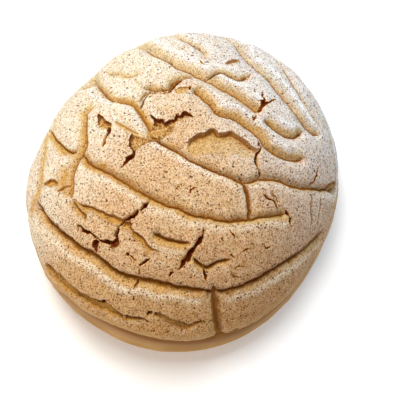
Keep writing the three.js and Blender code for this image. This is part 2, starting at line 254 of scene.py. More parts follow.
scoredLines = {
    "belly": score(
        [(42.5, 199), (46, 207), (53.5, 219.5), (70, 235), (83, 247), (96.5, 253.5), (118, 270), (140, 277),
         (165, 282), (190, 286.3), (206, 288.7)],
        3.0, 1.7, 4.0, (1.0, 0.85), 1.6, (0.0, 0.9)),
    "bellyRight": score(
        [(198, 288), (215, 289.8), (225, 289), (234, 286), (244, 282.5), (253.5, 278.5), (260, 274.2),
         (268, 269.7), (276.5, 265), (284, 260.5), (291, 255.8), (299, 250.5), (305.5, 244.8), (311, 239),
         (316, 232)],
        3.4, 1.0, 3.2, (0.3, 1.0), 1.9, (0.0, 0.8)),
    "waist": score(
        [(84, 151), (88.5, 159.7), (96.8, 165.6), (106.8, 170.5), (118.6, 177.3), (140, 191.5),
         (150, 198), (166, 205), (182, 211.2), (192, 216.5), (208, 219.3), (222, 221.7), (238, 222),
         (258, 220.5), (276, 217.8), (285, 214.5)],
        2.3, 4.0, 2.6, (0.6, 1.0), 0.4, (0.1, 0.85)),
    "shoulder": score(
        [(150, 136), (160, 142.5), (170, 148), (181, 154.5), (192, 162.5), (203, 168), (216, 174.2),
         (230, 179.5), (242, 184.7), (250, 183.7), (259, 181), (270, 181.5), (278, 183), (284, 186),
         (290, 188.5), (303, 191), (313, 192), (322, 192.5), (330, 191)],
        2.8, 3.3, 1.8, (0.45, 0.8), 0.6, (0.2, 1.0),
        end=[(12, 28.5), (24, 27.5), (48, 28), (75, 31), (98, 35)]),
    "leftUpright": score(
        [(101, 106), (95, 110.5), (90.5, 115), (90, 124), (89.5, 136), (90, 144), (86, 152), (82, 161),
         (79, 169), (76.5, 180), (75, 190), (74.5, 200)],
        2.2, 1.3, 4.6, (0.8, 0.9), 0.3, (0.5, 0.3)),
    "armFork": score(
        [(72, 196), (77, 203), (82, 209), (86, 214), (86.5, 222)],
        1.5, 1.6, 2.6, (0.9, 0.9), 0.15),
    "arcA": score(
        [(194, 89.5), (199.2, 94), (206, 100.3), (212.5, 107), (218, 114.5), (226, 117.5), (234, 120),
         (243, 126), (252, 133.5), (261, 141), (266, 149), (273, 154), (282, 159.5), (291, 163),
         (298, 163.5), (304, 160.5)],
        2.3, (3.6, "wall"), (4.0, "slant"), (1.0, 0.2), 0.2, (0.8, 0.2)),
    "arcB": score(
        [(146, 48), (153, 53), (162, 58.5), (171, 62.5), (180, 68), (190, 72), (200, 78), (212, 83.5),
         (222, 91), (234, 96.5), (244, 103), (252, 109.5), (259, 114), (264, 118)],
        2.5, (3.4, "wall"), (4.5, "slant"), (1.0, 0.15), 0.15, (0.8, 0.2),
        start=[(109, 26), (107, 34), (105.5, 42)]),
    "arcBEnd": score(
        [(262, 121), (268, 127.5), (275, 133), (284, 138.5), (292, 140), (298, 138.5), (303, 135)],
        2.2, (3.0, "wall"), (3.5, "slant"), (1.0, 0.2), 0.2, (0.8, 0.2)),
    "arcC": score(
        [(227, 37), (237, 48), (246, 59), (256, 69.5), (266, 79.5), (275, 90), (284, 101), (293, 113),
         (302, 126), (311, 136), (318, 141)],
        2.2, (3.0, "wall"), (4.5, "slant"), (0.65, 0.15), 0.1, (0.9, 0.3), start=[(88, 26), (80, 33)]),
    "arcD": score(
        [(256, 47), (267, 57), (278, 67), (287, 78), (295, 90), (300, 98.5), (305, 107), (309.5, 115),
         (316, 125), (322, 136)],
        1.4, (1.7, "wall"), (2.4, "slant"), (0.45, 0.25), 0.3, (0.7, 0.3), start=[(74, 26), (68, 31)]),
    "arcE": score(
        [(288, 70), (308, 97), (327, 138)],
        1.2, (1.6, "wall"), (2.2, "slant"), (0.4, 0.2), 0.25, (0.7, 0.3), start=[(60, 27), (55, 31)]),
    "topFar": score(
        [(160, 34), (170, 37.5), (180, 41), (190, 44), (197, 47), (203, 51), (206, 57), (208, 66)],
        1.9, (2.6, "wall"), (3.5, "slant"), (0.6, 0.0), 0.0, (0.6, 0.2)),
    "hook": score(
        [(204, 83), (210, 80.5), (214, 78.5), (218, 76.5), (223, 75.5), (228, 77.5), (233, 80), (239, 82),
         (245, 81.5), (250, 78)],
        2.2, (2.2, "wall"), (2.5, "slant"), (1.0, 0.3), 0.3, (0.7, 0.2)),
    "shelf": score(
        [(144, 90), (149, 90.5), (153, 90), (158, 91.8), (164, 92), (169, 91.5), (172.5, 90),
         (174.5, 87.5), (176, 84.5), (180, 82), (186, 80.5), (193, 79), (201, 78)],
        2.6, (2.6, "wall"), (1.2, "slant"), (1.0, 0.5), 0.8, (0.4, 0.5)),
    "leftUpper": score(
        [(96.5, 77), (100.5, 85), (106, 92.5), (112, 99), (121, 102.5), (131, 104.5), (138.5, 109),
         (143, 116), (147, 122.5), (149.5, 130), (150, 138)],
        2.2, (3.4, "wall"), 2.2, (0.95, 0.3), 0.0, (0.6, 0.8), start=[(144, 26), (139, 34), (135.5, 41)]),
    "doubleLine": score(
        [(156, 86), (153.5, 91), (151.5, 94), (149.5, 97.5), (147.5, 101), (146, 105), (145, 109),
         (143.5, 114)],
        2.4, 0.8, 0.8, (0.6, 0.5), 0.45),
    "doubleShade": score(
        [(152, 87), (149, 91.5), (146.5, 95), (144, 98.5), (141.5, 101.5), (138, 105)],
        1.6, 1.0, 1.8, (0.5, 0.8), 0.3),
    "plateDent": score(
        [(108, 73), (114, 73), (121, 73.5), (128, 75), (135, 75.5), (141, 72.5), (146, 69)],
        1.0, 2.4, 2.4, (0.9, 0.9)),
    "plateSplit": score([(134, 76), (139, 81), (144, 87)], 0.9, 1.6, 1.4, (0.6, 0.5)),
    "leftNotch": score(
        [(52, 129), (57, 136), (62, 142), (67, 146.5), (72, 149.5), (78, 150), (83, 147)],
        1.6, 1.6, 3.2, (0.9, 1.0), 0.15),
    "leftRim": score(
        [(50, 129), (47, 142), (45, 156), (43, 168), (42, 182), (39, 192), (36, 200), (34, 208), (33, 216)],
        0.8, 3.4, 3.4, (0.7, 0.7), 0.0, (0, 0)),
    "leftGold": score(
        [(71, 160), (67, 168), (64, 176), (62, 184), (61, 192)],
        0.8, 4.6, 4.6, (0.8, 0.75), 0.0, (0, 0)),
    "tongueEdge": score(
        [(114.5, 118.5), (120.5, 121.5), (126.5, 125), (132.5, 128.5), (139, 132), (146, 135)],
        1.2, 1.1, 1.8, (0.6, 1.0)),
    "slit": score(
        [(151, 231), (158, 234.5), (166, 238.5), (175, 241), (184, 242.5), (191, 243)],
        2.4, 1.2, 3.6, (0.6, 1.0), 0.9),
    "smile": score(
        [(188, 255.5), (192, 259), (198, 263.5), (205, 266), (213, 263.5), (219, 261.5), (226, 260),
         (231, 258)],
        2.5, 1.5, 2.4, (0.9, 1.0), 0.8),
    "slashSide": score([(192, 251), (184, 260.5), (176, 268)], 1.8, 0.8, 2.6, (0.0, 1.0)),
    "uprightMid": score(
        [(235.5, 175.5), (240.5, 184), (245, 191.5), (248, 200), (248.5, 210), (248, 219), (248, 227)],
        3.0, 1.8, 1.5, (0.7, 0.4), 1.0, (0.7, 0.8)),
    "uprightLow": score(
        [(210.5, 281), (211.3, 291), (212.2, 300), (213.8, 312), (215, 325), (215, 341), (215, 354)],
        3.4, 2.2, 2.6, (0.9, 0.8), 2.0, (0.3, 0.3)),
    "eyeTrough": score([(160, 141), (170, 144), (181, 148)], 1.2, 1.8, 1.8, (0.7, 0.7)),
    "rightFold": score(
        [(309, 192), (310.5, 202), (309, 212), (310, 222), (308, 233)],
        1.3, 0.9, 1.2, (0.3, 0.3), 0.25, (0.6, 0.9)),
    "farFold": score(
        [(318, 194), (319, 205), (317, 216), (315, 229)],
        1.2, 0.9, 1.2, (0.3, 0.2), 0.2, (0.6, 0.9)),
    "tierNotch": score(
        [(54, 273.5), (48, 268.5), (43, 263.5)],
        2.2, 1.6, 1.2, (0.6, 0.6), 0.4, end=[(204, 22.5), (197, 22.5), (188, 23)]),
    "bandFold": score([(283, 274), (281, 288), (274, 300)], 0.5, 1.0, 1.2, (0.2, 0.2)),
    "backLeft": score([], 2.3, 2.4, 3.0, (0.6, 0.7), 0.2, start=[(141, 30), (155, 27.5), (172, 25.5)]),
    "backLow": score([], 2.5, 2.4, 3.0, (0.6, 0.8), 0.2, start=[(107, 31), (122, 29.5), (139, 31)]),
}

# Low swells of the paste: route, height and half width
swells = {
    "lip": {
        "route": [(70, 296), (100, 313), (140, 328), (180, 333), (206, 330)],
        "height": 0.9, "width": 2.4},
    "lipCorner": {"route": [(41, 262), (50, 275), (60, 286)], "height": 1.0, "width": 3.0},
    "bandRidge": {
        "route": [(52, 246), (80, 264), (110, 281), (150, 294), (195, 298)],
        "height": 0.4, "width": 2.6},
    "topLeftPuff": {"route": [(101, 72), (112, 62), (126, 53), (141, 47)], "height": 0.9, "width": 4.0},
    "leftPuff": {"route": [(84, 86), (72, 96), (62, 108), (54, 122)], "height": 0.7, "width": 4.0},
    "topPuff": {"route": [(168, 37), (190, 34), (212, 35), (224, 39)], "height": 0.6, "width": 4.0},
    "farPuff": {
        "route": [(238, 41), (250, 45), (262, 51), (274, 58), (286, 67), (297, 77), (306, 89), (313, 100)],
        "height": 0.9, "width": 3.5},
    "leftLowPuff": {"route": [(30, 206), (29, 222), (31, 238), (36, 250)], "height": 1.0, "width": 5.0},
}


# A break where the rising dough has torn the paste; torn is 1 for a dark crack and less for a wide bare floor
def tear(width, depth, torn, *route):
    return {"width": width, "depth": depth, "torn": torn, "route": route}


tornLines = {
    "leftTearNeck": tear(1.1, 2.8, 1.1, (111, 124), (110.5, 130), (109, 134), (106, 138), (104, 144)),
    "leftTearTail": tear(1.2, 2.6, 1.1, (107, 138), (105.5, 141), (104, 145)),
    "yStemTop": tear(1.3, 3.4, 1.0, (149.5, 200.5), (145, 205), (141, 210.5)),
    "yStem": tear(1.4, 3.4, 1.0, (138.5, 210), (136, 213.5), (131, 217), (128, 219), (125, 219)),
    "yJoint": tear(1.0, 3.4, 1.0, (126, 218.5), (122.5, 221.5), (119.5, 225)),
    "yNeck": tear(
        0.95, 3.4, 1.0, (118.5, 225), (118.5, 228), (117, 231), (116, 234.5), (117.5, 237), (118.5, 240)),
    "yHeel": tear(1.8, 3.2, 1.1, (113, 241), (109, 240.5), (105, 240), (100, 239)),
    "yLink": tear(0.9, 2.2, 1.15, (100, 238.5), (97, 237)),
    "yBranch": tear(
        1.1, 2.6, 1.15, (96, 237), (94, 235), (92, 233.5), (91, 231.5), (89, 230.5), (85, 230), (83, 228),
        (82, 226), (79, 224), (77, 222.5)),
    "yTick": tear(0.8, 1.6, 0.8, (77, 222), (76.5, 229)),
    "slash": tear(
        1.5, 3.5, 1.0, (203.5, 233), (201, 239), (196, 246), (190, 254), (184, 261), (177, 268.5)),
    "slashTop": tear(0.6, 1.4, 1.15, (203.5, 226), (203.5, 235)),
    "slashTail": tear(0.9, 2.2, 1.0, (171.5, 271), (168, 275)),
    "hairLow": tear(0.8, 1.8, 1.15, (147.5, 257.5), (146, 259.5), (143, 260.8), (140, 263), (137.5, 264)),
    "hairLowEnd": tear(0.5, 1.0, 1.15, (137, 266), (136.5, 270), (136.5, 273)),
    "hairSpot": tear(0.9, 1.6, 1.15, (126, 252.5), (129, 254.5)),
    "hairSpotEnd": tear(0.5, 1.0, 1.15, (129, 254.5), (131.5, 257), (135, 260)),
    "smileDrop": tear(0.9, 2.0, 1.15, (202, 266), (202, 272), (203.5, 281)),
    "eyeCrack": tear(
        1.0, 2.8, 0.9, (263, 149), (260, 153), (257, 157), (255.5, 161), (257, 166), (259, 172),
        (260, 179)),
    "eyeCorner": tear(0.7, 1.8, 1.15, (259, 140), (261, 146), (263, 150)),
    "pitRightArm": tear(0.7, 1.6, 1.15, (266, 104), (272, 103), (278, 101)),
    "pitRightTop": tear(0.7, 1.6, 1.15, (264, 93), (267, 100)),
    "pitDrop": tear(1.1, 2.2, 0.9, (257.5, 116), (255.5, 121.5)),
    "waistEnd": tear(0.8, 2.0, 1.15, (284, 211.5), (287.5, 215.5), (289, 221), (290, 230)),
    "farRight": tear(0.7, 1.6, 1.15, (318.5, 168), (317.5, 177), (315, 182), (313, 188)),
    "rightHair": tear(0.6, 1.3, 1.15, (264, 195.5), (269, 199), (274.5, 203), (278, 208.5)),
    "rightHairTwin": tear(0.5, 1.0, 1.15, (272, 193), (275, 198), (278, 203)),
    "shelfDark": tear(
        1.5, 3.4, 1.2, (171, 92), (173, 90), (174.5, 87.5), (176, 84.5), (180, 82), (185, 80)),
    "shelfCrack": tear(
        0.9, 3.0, 0.75, (147, 90), (152, 90.8), (158, 91.8), (164, 92), (169, 91.5), (173, 90)),
    "fragmentEnd": tear(1.0, 2.2, 0.9, (192, 85), (193, 90)),
    "topSpot": tear(1.0, 1.8, 0.8, (203, 45.5), (203, 50)),
    "topSpotLow": tear(0.9, 1.6, 0.8, (203.5, 61), (206.5, 64)),
    "hookTick": tear(0.6, 1.4, 0.8, (254, 73.5), (250, 80.5)),
    "tierPit": tear(1.2, 2.8, 1.0, (145.5, 312), (149.5, 309)),
    "tierDark": tear(1.0, 2.4, 1.15, (91, 297.5), (97, 299.5), (104, 299.5)),
    "tierEnd": tear(0.6, 1.8, 1.15, (190, 323.5), (195, 322), (203, 321.5)),
    "lipLineRight": tear(
        0.5, 1.4, 1.15, (226, 334), (231, 331.5), (240, 328.5), (248, 325), (255, 320), (262, 315.5),
        (268, 311.5)),
    "bandNick": tear(0.8, 1.6, 1.15, (135, 279), (134.5, 283), (133, 287.5)),
    "bandNickLow": tear(0.6, 1.2, 1.15, (131.5, 294), (131, 300)),
    "centreHair": tear(0.45, 0.9, 1.15, (182, 185), (178, 186.5), (176, 190.5)),
    "centreHairTwin": tear(0.45, 0.9, 1.15, (197, 186), (192, 188.5), (189.5, 191.5)),
    "bellyHairA": tear(0.5, 1.0, 1.15, (251, 247), (245, 250), (240, 254)),
    "bellyHairB": tear(0.5, 1.0, 1.15, (229, 254.5), (232, 255.5), (235, 259)),
    "bellyHairC": tear(0.45, 0.9, 1.15, (233, 270), (237, 267.5), (244, 267.5)),
    "bellyHairD": tear(0.55, 1.0, 1.15, (229.5, 274.5), (234, 278.5), (241, 278)),
    "bellyHairE": tear(0.5, 1.0, 1.15, (230, 230), (232.5, 235), (235.5, 239.5)),
    "bellyHairF": tear(0.5, 1.0, 1.15, (261.5, 246), (264, 249.5), (269, 246)),
}


# A recess between two ragged lines: its floor is deepest at a steep wall under the brow and rises to the
# sill. gold and torn are how bare and how torn it is at the brow and at the sill (the dark torn colour at
# the brow is partly painted shadow), crease how far the painted shadow under the brow goes and the rim
# highlight how white the plate past the sill is painted.
def recess(depth, gold, crease, torn, brow, sill, rimHighlight=0.0):
    return {
        "depth": depth, "gold": gold, "crease": crease, "torn": torn, "brow": brow, "sill": sill,
        "rimHighlight": rimHighlight,
    }


recesses = {
    "bigTear": recess(
        3.2, (0.5, 0.8), 0.0, (1.0, 0.5),
        [(155.5, 122), (156, 120), (153.5, 116.5), (152, 112.5), (155, 113.5), (158, 116.5), (161, 117.5),
         (164, 118), (166, 121), (168, 121.5), (170, 120), (173, 119), (175.5, 118.5), (176.5, 116),
         (177.5, 113.5), (179, 112.5), (181, 114), (183, 114), (184, 111.5), (186, 110), (188, 111),
         (190, 112), (193, 113), (195, 115), (196.5, 118)],
        [(194, 116.8), (190, 117), (187, 118), (184, 120), (181, 120.3), (178.5, 121.5), (177, 123.5),
         (176, 126.5), (174.5, 129.5), (172, 133), (168, 134.5), (165.5, 137), (160, 140), (155, 141),
         (149, 140), (147, 134), (149, 130), (152, 127)],
        0.2),
    "junction": recess(
        2.8, (0.8, 0.8), 0.0, (0.9, 0.5),
        [(133, 132.5), (130.5, 136), (130, 141), (129.5, 145), (131.5, 147), (133, 150)],
        [(137, 150), (139, 147), (141, 144), (147, 142), (152, 141), (150, 137), (144, 136), (138, 134)]),
    "junctionCrack": recess(
        3.3, (0.0, 0.0), 0.0, (1.0, 0.85),
        [(131.5, 147), (133, 149.5), (132.5, 153), (128, 154.5), (126, 156), (125.5, 159), (124, 162.5),
         (121.5, 167)],
        [(126, 164), (128.5, 161.5), (131, 159), (134.5, 157.5), (136.5, 154), (137, 150), (135, 147)]),
    "leftTear": recess(
        2.6, (0.8, 0.8), 0.0, (0.8, 0.45),
        [(99, 120), (98.5, 114), (100, 111.5), (103, 113), (105.5, 115), (107.5, 118.5), (111, 120),
         (114, 122)],
        [(112, 127), (109, 128), (104, 126.5), (99.5, 125.5)]),
    "eye": recess(
        3.1, (0.9, 0.45), 0.5, (0.0, 0.0),
        [(188, 142), (190, 138.5), (193, 137), (197, 134.5), (201, 133), (205, 132.5), (208.5, 131.5),
         (209, 130), (212, 129), (216, 128.5), (219, 130), (220, 132.5), (224, 132.5), (230, 131.5),
         (234, 132.5), (238, 135), (242, 138), (245, 139.5), (248, 141.5), (250, 144), (254, 147.5),
         (258, 150), (262, 150)],
        [(255, 157), (253, 160), (249, 159), (244, 159.5), (240, 158), (236, 155.5), (232, 155),
         (228, 157), (223, 159.5), (219, 157), (214, 154.5), (207, 155), (200, 155.5), (195, 158),
         (190, 157), (187, 152)],
        0.4),
    "arm": recess(
        2.5, (1.0, 0.8), 0.4, (0.0, 0.0),
        [(74, 196), (78, 200), (81, 201.5), (85, 201.5), (90, 203), (94, 204), (97, 206), (100, 207.5),
         (104, 209), (107, 211), (110, 212), (113, 212), (117, 213.5), (120, 216), (124, 218)],
        [(124, 219.5), (121, 224), (118, 224.5), (114, 223.5), (109, 221), (104, 219), (100, 216),
         (97, 213), (93, 210.5), (89, 208.5), (87, 210), (86, 213), (84, 212), (82, 209), (78, 203)]),
    "innerArm": recess(
        2.2, (1.0, 1.0), 0.9, (0.1, 0.0),
        [(123, 219.5), (130, 219.5), (131.5, 221.5), (131, 225), (133.5, 229.5), (137, 231), (141, 234.5),
         (144, 238), (146, 241.5), (149, 244), (152, 247), (156, 249), (160, 251.5)],
        [(154, 251.5), (148, 252), (143, 255.5), (143, 252.5), (145.5, 249), (143, 246.5), (139, 243),
         (136, 239.5), (132, 235.5), (130, 230.5), (126, 227), (121, 226.5), (120, 223.5)]),
    "yFoot": recess(
        3.3, (0.0, 0.0), 0.0, (1.0, 0.8),
        [(108.5, 240.5), (110, 238.5), (113, 238.5), (116, 236.5), (118, 239)],
        [(118.7, 241.5), (117.5, 244), (114, 246), (110, 245), (108, 246), (109.5, 243)]),
    "yToe": recess(
        3.2, (0.3, 0.3), 0.0, (1.1, 0.9),
        [(91.5, 243), (92.5, 238.5), (95.5, 236.5)],
        [(98.5, 239.5), (97.5, 243.5), (96.5, 246), (95.5, 251), (93.5, 247)]),
    "pitRight": recess(
        3.0, (0.3, 0.3), 0.0, (0.9, 0.8),
        [(261.5, 101), (264, 101), (266.5, 99), (268.5, 102), (271, 103.5)],
        [(268, 106.5), (265, 109), (263.5, 112.5), (260, 114.5), (257.5, 113.5), (260, 109.5),
         (262.5, 106)]),
    "leftPit": recess(
        1.7, (1.0, 1.0), 1.3, (0.0, 0.0),
        [(45, 180), (47.5, 177), (51, 175.5), (55, 176.5), (58, 179.5)], [(56, 183), (51, 184), (47, 183)]),
    "leftPitLow": recess(
        1.9, (1.0, 0.6), 0.8, (0.0, 0.0),
        [(58, 188), (61, 185.5), (64, 183.5), (68, 182.5), (71.5, 183)],
        [(71, 188.5), (68, 190.5), (63, 191)]),
    "waistPocket": recess(
        1.5, (0.5, 1.0), 0.0, (0.0, 0.0),
        [(82, 156), (85, 156), (89, 159), (94, 161), (99, 161.5), (103, 161.5), (107, 160)],
        [(107.5, 165), (106, 170), (101, 170), (95, 168.5), (88, 165), (84, 161)]),
    "farPit": recess(
        2.0, (1.0, 0.8), 0.7, (0.0, 0.0),
        [(227.5, 66), (229, 62.5), (232, 60.5), (236, 59.5), (240, 60), (242.5, 61.5)],
        [(243, 63.5), (240, 64.8), (236, 65.2), (232, 66.2)]),
    "fragment": recess(
        1.8, (1.0, 0.9), 0.5, (0.0, 0.0),
        [(176, 90), (178, 87), (182, 86), (187, 86), (190.5, 86.5)], [(190.5, 91.5), (186, 93), (180, 93)]),
    "shoulderEnd": recess(
        2.6, (1.0, 1.0), 1.6, (0.0, 0.0),
        [(325, 190), (329, 186), (333, 183.5), (338, 184)],
        [(338, 191), (331, 193)]),
    "tierLeft": recess(
        2.8, (1.0, 0.8), 0.6, (0.0, 0.0),
        [(46, 259.5), (51, 263), (54, 265), (56, 268.5), (60, 271), (63, 275), (67, 279.5), (71, 283),
         (75, 286.5), (80, 291), (84, 291.5), (87, 294.5), (91, 296), (96, 298), (100, 298), (103, 297),
         (105, 299.5), (110, 304), (115, 308), (119, 311.5), (121, 312.5)],
        [(121, 319), (116, 317.5), (106, 312), (96, 308.5), (88, 304), (80, 299), (72, 294), (64, 287.5),
         (56, 281), (48, 272), (43, 264)]),
    "tierMid": recess(
        2.8, (1.0, 0.7), 0.9, (0.0, 0.0),
        [(121, 312.5), (126, 313), (129, 314.5), (133, 315), (138, 315.5), (142, 316.5), (144, 318.5),
         (149, 321.5)],
        [(149, 322.5), (143, 320.5), (135, 321), (128, 320.5), (121, 319)]),
    "tierRight": recess(
        2.7, (1.0, 0.5), 0.8, (0.0, 0.0),
        [(151, 311.5), (156, 311.5), (161, 313), (165, 316), (170, 318.5), (175, 320), (179, 321),
         (183, 322.5), (187, 323.5), (190, 322.5), (194, 321.5), (199, 321), (203, 321.5)],
        [(204, 323.5), (199, 325), (194, 328), (188, 330.5), (183, 332), (177, 330.5), (171, 328),
         (165, 325), (160, 322), (155, 318.5), (150, 315)]),
}


relief = {
    "proud": 0.7,  # the whole paste stands out by this much
    "deepest": 3.5,
    "roll": 0.46, "rollReach": 5.5,  # plates sag towards a scored line by this share of its depth
    "rim": 0.2,  # a rim with a painted highlight stands up by this much
    "highlightLost": 0.8, "highlightLostAt": (0.5, 2.0),  # share of the painted highlight lost, between these depths
    "swellTip": (-3, 5), "swellReach": 3,  # a swell fades to its ends, and out to so many half widths
    "soft": [(7, 0.5, 11), (2.2, 0.3, 21), (0.9, 0.15, 26)],  # how scored edges wander: size, amount, seed
    "rough": [(3.2, 0.5, 31), (1.1, 0.35, 41)],  # and torn edges
    "seen": [(2.4, 0.25, 31), (1.2, 0.15, 41)],  # and sunk edges
    "ragged": (1.5, 51),  # size and seed of the unevenness of breaks
    "swellings": [(11, 0.36, 61), (4, 0.14, 62)],  # size, height and seed of unevenness
    "lumps": [(1.7, 0.07, 63), (0.9, 0.05, 64)],
    "lumpHeight": 0.06,  # of a lump that counts as high
    "crumbs": [(0.8, 0.5, 65)],  # the finer part of the rubble
    "rubbleTorn": 0.45, "rubbleGold": 0.12,  # height of rubble where the paste is torn or bare
}

scoring = {
    "spacing": 0.4,
    "firstSeed": 100, "seeds": 3,  # each line has its own three
    "reach": 12,  # how far from a line its marks go
    "tip": (-0.5, 3.5),  # a line sets in between these distances from its end
    "unevenDepth": 0.2, "depthRun": 8,  # how much a line varies along its run, and over what length
    "unevenWidth": 0.25, "widthRun": 5,
    "rimInner": 0.7, "rimOuter": 2.1, "rimFar": 4.0,  # how far the painted highlight of a rim fades
    "rimShare": 0.75,  # of the near fading
    "rimFull": 2.5,  # depth from which a rim's painted highlight is full
    "cut": 0.7, "cutWidth": 0.35,  # the crease's own cut
    "sharpness": 4,  # of the meeting of two lines
    "start": -6,  # the running soft maximum starts far below 0
}

tearing = {
    "spacing": 0.3,
    "seenShare": 0.5,  # of its depth, at which a break is seen
    "reach": 2,  # past a break's own width
    "tip": (-0.3, 2.5), "tipShare": 0.15,  # a break opens over this way from its end, less if it is short
    "tipWidth": 0.3, "tipDepth": 0.5,  # share of its width and depth at the tip
    "ragged": 0.45,  # how uneven its width is
    "wall": (-0.15, 0.25),  # between these distances from its half width
}

sinking = {
    "reach": 9,  # pixels past the ring
    "wall": 0.7,  # width of the walls at the brow and the sill
    "sillShare": 0.35,  # of the depth at the brow
    "ragged": 0.12,  # how uneven the floor is
    "tornReach": 0.7, "highlightReach": 1.6,  # how far in from the brow and out from the sill
    "creaseGain": 1.2,
}


# a place on the skin over what is seen through a pixel at a depth below it
def overSeen(pixels, depth):
    point = seenAt(pixels)
    normal, toEye = skinNormal(point), unit(eye - point)
    slant = np.maximum(np.einsum("ij,ij->i", normal, toEye), sight["leastSlant"])[:, None]
    return seenAt(toPixels(point + depth * (normal - toEye / slant)))


# the line on the skin that a mark follows, smooth or straight from point to point
def markLine(mark, straight=False):
    parts = [turnedTo(mark["start"])] if mark.get("start") else []
    sunk = mark.get("depth", 0) * (1 + relief["roll"] if "sides" in mark else tearing["seenShare"])
    sunk = min(sunk, relief["deepest"]) - relief["proud"]
    parts += [overSeen(mark["route"], sunk)] if len(mark["route"]) else []
    parts += [turnedTo(mark["end"])] if mark.get("end") else []
    route = np.vstack(parts)
    return evenly(route, tearing["spacing"]) if straight else smoothLine(route, scoring["spacing"])


# signed distance of each point across a line (positive to its left), the nearest place of the line, and how
# far that is from the line's ends
def lineDistance(points, line, block=2000000):
    along = unit(np.gradient(line, axis=0))
    side = unit(np.cross(skinNormal(line), along))
    run = runAlong(line)
    nearest = np.empty(len(points), int)
    for part in np.array_split(np.arange(len(points)), len(points) * len(line) // block + 1):
        square = (points[part] ** 2).sum(1)[:, None] - 2 * points[part] @ line.T + (line**2).sum(1)
        nearest[part] = square.argmin(1)
    away = points - line[nearest]
    across = np.einsum("ij,ij->i", away, side[nearest])
    past = np.einsum("ij,ij->i", away, along[nearest])
    atEnd = (nearest == 0) | (nearest == len(line) - 1)
    far = np.where(atEnd, np.hypot(across, past), np.abs(across))
    return np.copysign(far, across), nearest, np.minimum(run, run[-1] - run)[nearest]


def nearLine(points, line, reach):
    return np.nonzero(((points > line.min(0) - reach) & (points < line.max(0) + reach)).all(1))[0]


def keepLarger(layer, near, values):
    layer[near] = np.maximum(layer[near], values)


# a scored line: on each side the plate comes down by its profile to a narrow crease, and its rim gets a
# painted highlight
def scoreInto(layers, points, line, mark, seed):
    near = nearLine(points, line, scoring["reach"])
    across, nearest, toEnd = lineDistance(points[near], line)
    tip = smooth(*scoring["tip"], toEnd)
    uneven = lumps(line, scoring["depthRun"], seed)[nearest]
    deep = mark["depth"] * tip * (1 + scoring["unevenDepth"] * uneven)
    depth, gold, rimHighlight = np.zeros((3, len(near)))
    for k, (width, kind) in enumerate(mark["sides"]):
        uneven = lumps(line, scoring["widthRun"], seed + 1 + k)[nearest]
        wide = width * (1 + scoring["unevenWidth"] * uneven)
        share = np.abs(across) / wide
        side = (across > 0) == (k == 0)
        depth[side] = (deep * profiles[kind](np.clip(share, 0, 1)))[side]
        gold[side] = (mark["gold"][k] * (1 - smooth(*goldEnds[kind], share)) * tip)[side]
        # painted highlight along the rim
        past = (share - highlightPlace[kind]) * wide
        rim = scoring["rimShare"] * bell(past, np.where(past < 0, scoring["rimInner"], scoring["rimOuter"]))
        rim = rim + (1 - scoring["rimShare"]) * bell(past, scoring["rimFar"])
        rim = rim * tip * min(1, mark["depth"] / scoring["rimFull"])
        rimHighlight[side] = (mark["rimHighlight"][k] * rim)[side]
    # the crease is cut into the relief, and its layer paints shade along the bottom
    if mark["crease"]:
        depth += scoring["cut"] * tip * bell(across, scoring["cutWidth"])
        keepLarger(layers["crease"], near, bell(across, mark["crease"]) * tip)
    sharp = scoring["sharpness"]
    layers["depth"][near] = np.logaddexp(layers["depth"][near] * sharp, depth * sharp) / sharp
    keepLarger(layers["gold"], near, gold)
    keepLarger(layers["rimHighlight"], near, rimHighlight)
    keepLarger(layers["roll"], near, deep * np.exp(-np.abs(across) / relief["rollReach"]))


# a break: steep walls at an uneven half width that narrows to both tips
def tearInto(layers, points, line, mark, ragged):
    near = nearLine(points, line, mark["width"] + tearing["reach"])
    across, _, toEnd = lineDistance(points[near], line)
    shut, full = tearing["tip"]
    tip = smooth(shut, min(full, len(line) * tearing["tipShare"]), toEnd)
    narrowed = tearing["tipWidth"] + (1 - tearing["tipWidth"]) * tip
    half = mark["width"] / 2 * narrowed * (1 + tearing["ragged"] * ragged[near])
    inside = 1 - smooth(*tearing["wall"], np.abs(across) - half)
    depth = mark["depth"] * inside * (tearing["tipDepth"] + (1 - tearing["tipDepth"]) * tip)
    keepLarger(layers["depth"], near, depth)
    keepLarger(layers["torn"], near, inside * mark["torn"])


# distance in millimetres of each pixel from the nearest stretch of a line
def toEdge(pixels, edge):
    first, stretch = edge[:-1], np.diff(edge, axis=0)
    share = np.clip(((pixels[:, None] - first) * stretch).sum(-1) / (stretch**2).sum(-1), 0, 1)
    away = np.linalg.norm(pixels[:, None] - first - share[..., None] * stretch, axis=-1).min(1)
    return away / sight["pixelsPerMm"]


# pixels inside a ring: a line to their right crosses it an odd number of times
def within(pixels, ring):
    (x0, y0), (x1, y1) = ring.T, np.roll(ring, -1, 0).T
    x, y = pixels[:, :1], pixels[:, 1:]
    crossing = x0 + (x1 - x0) * (y - y0) / (y1 - y0 + 1e-6)  # never divides by 0
    return (((y0 > y) != (y1 > y)) & (x < crossing)).sum(1) % 2 == 1


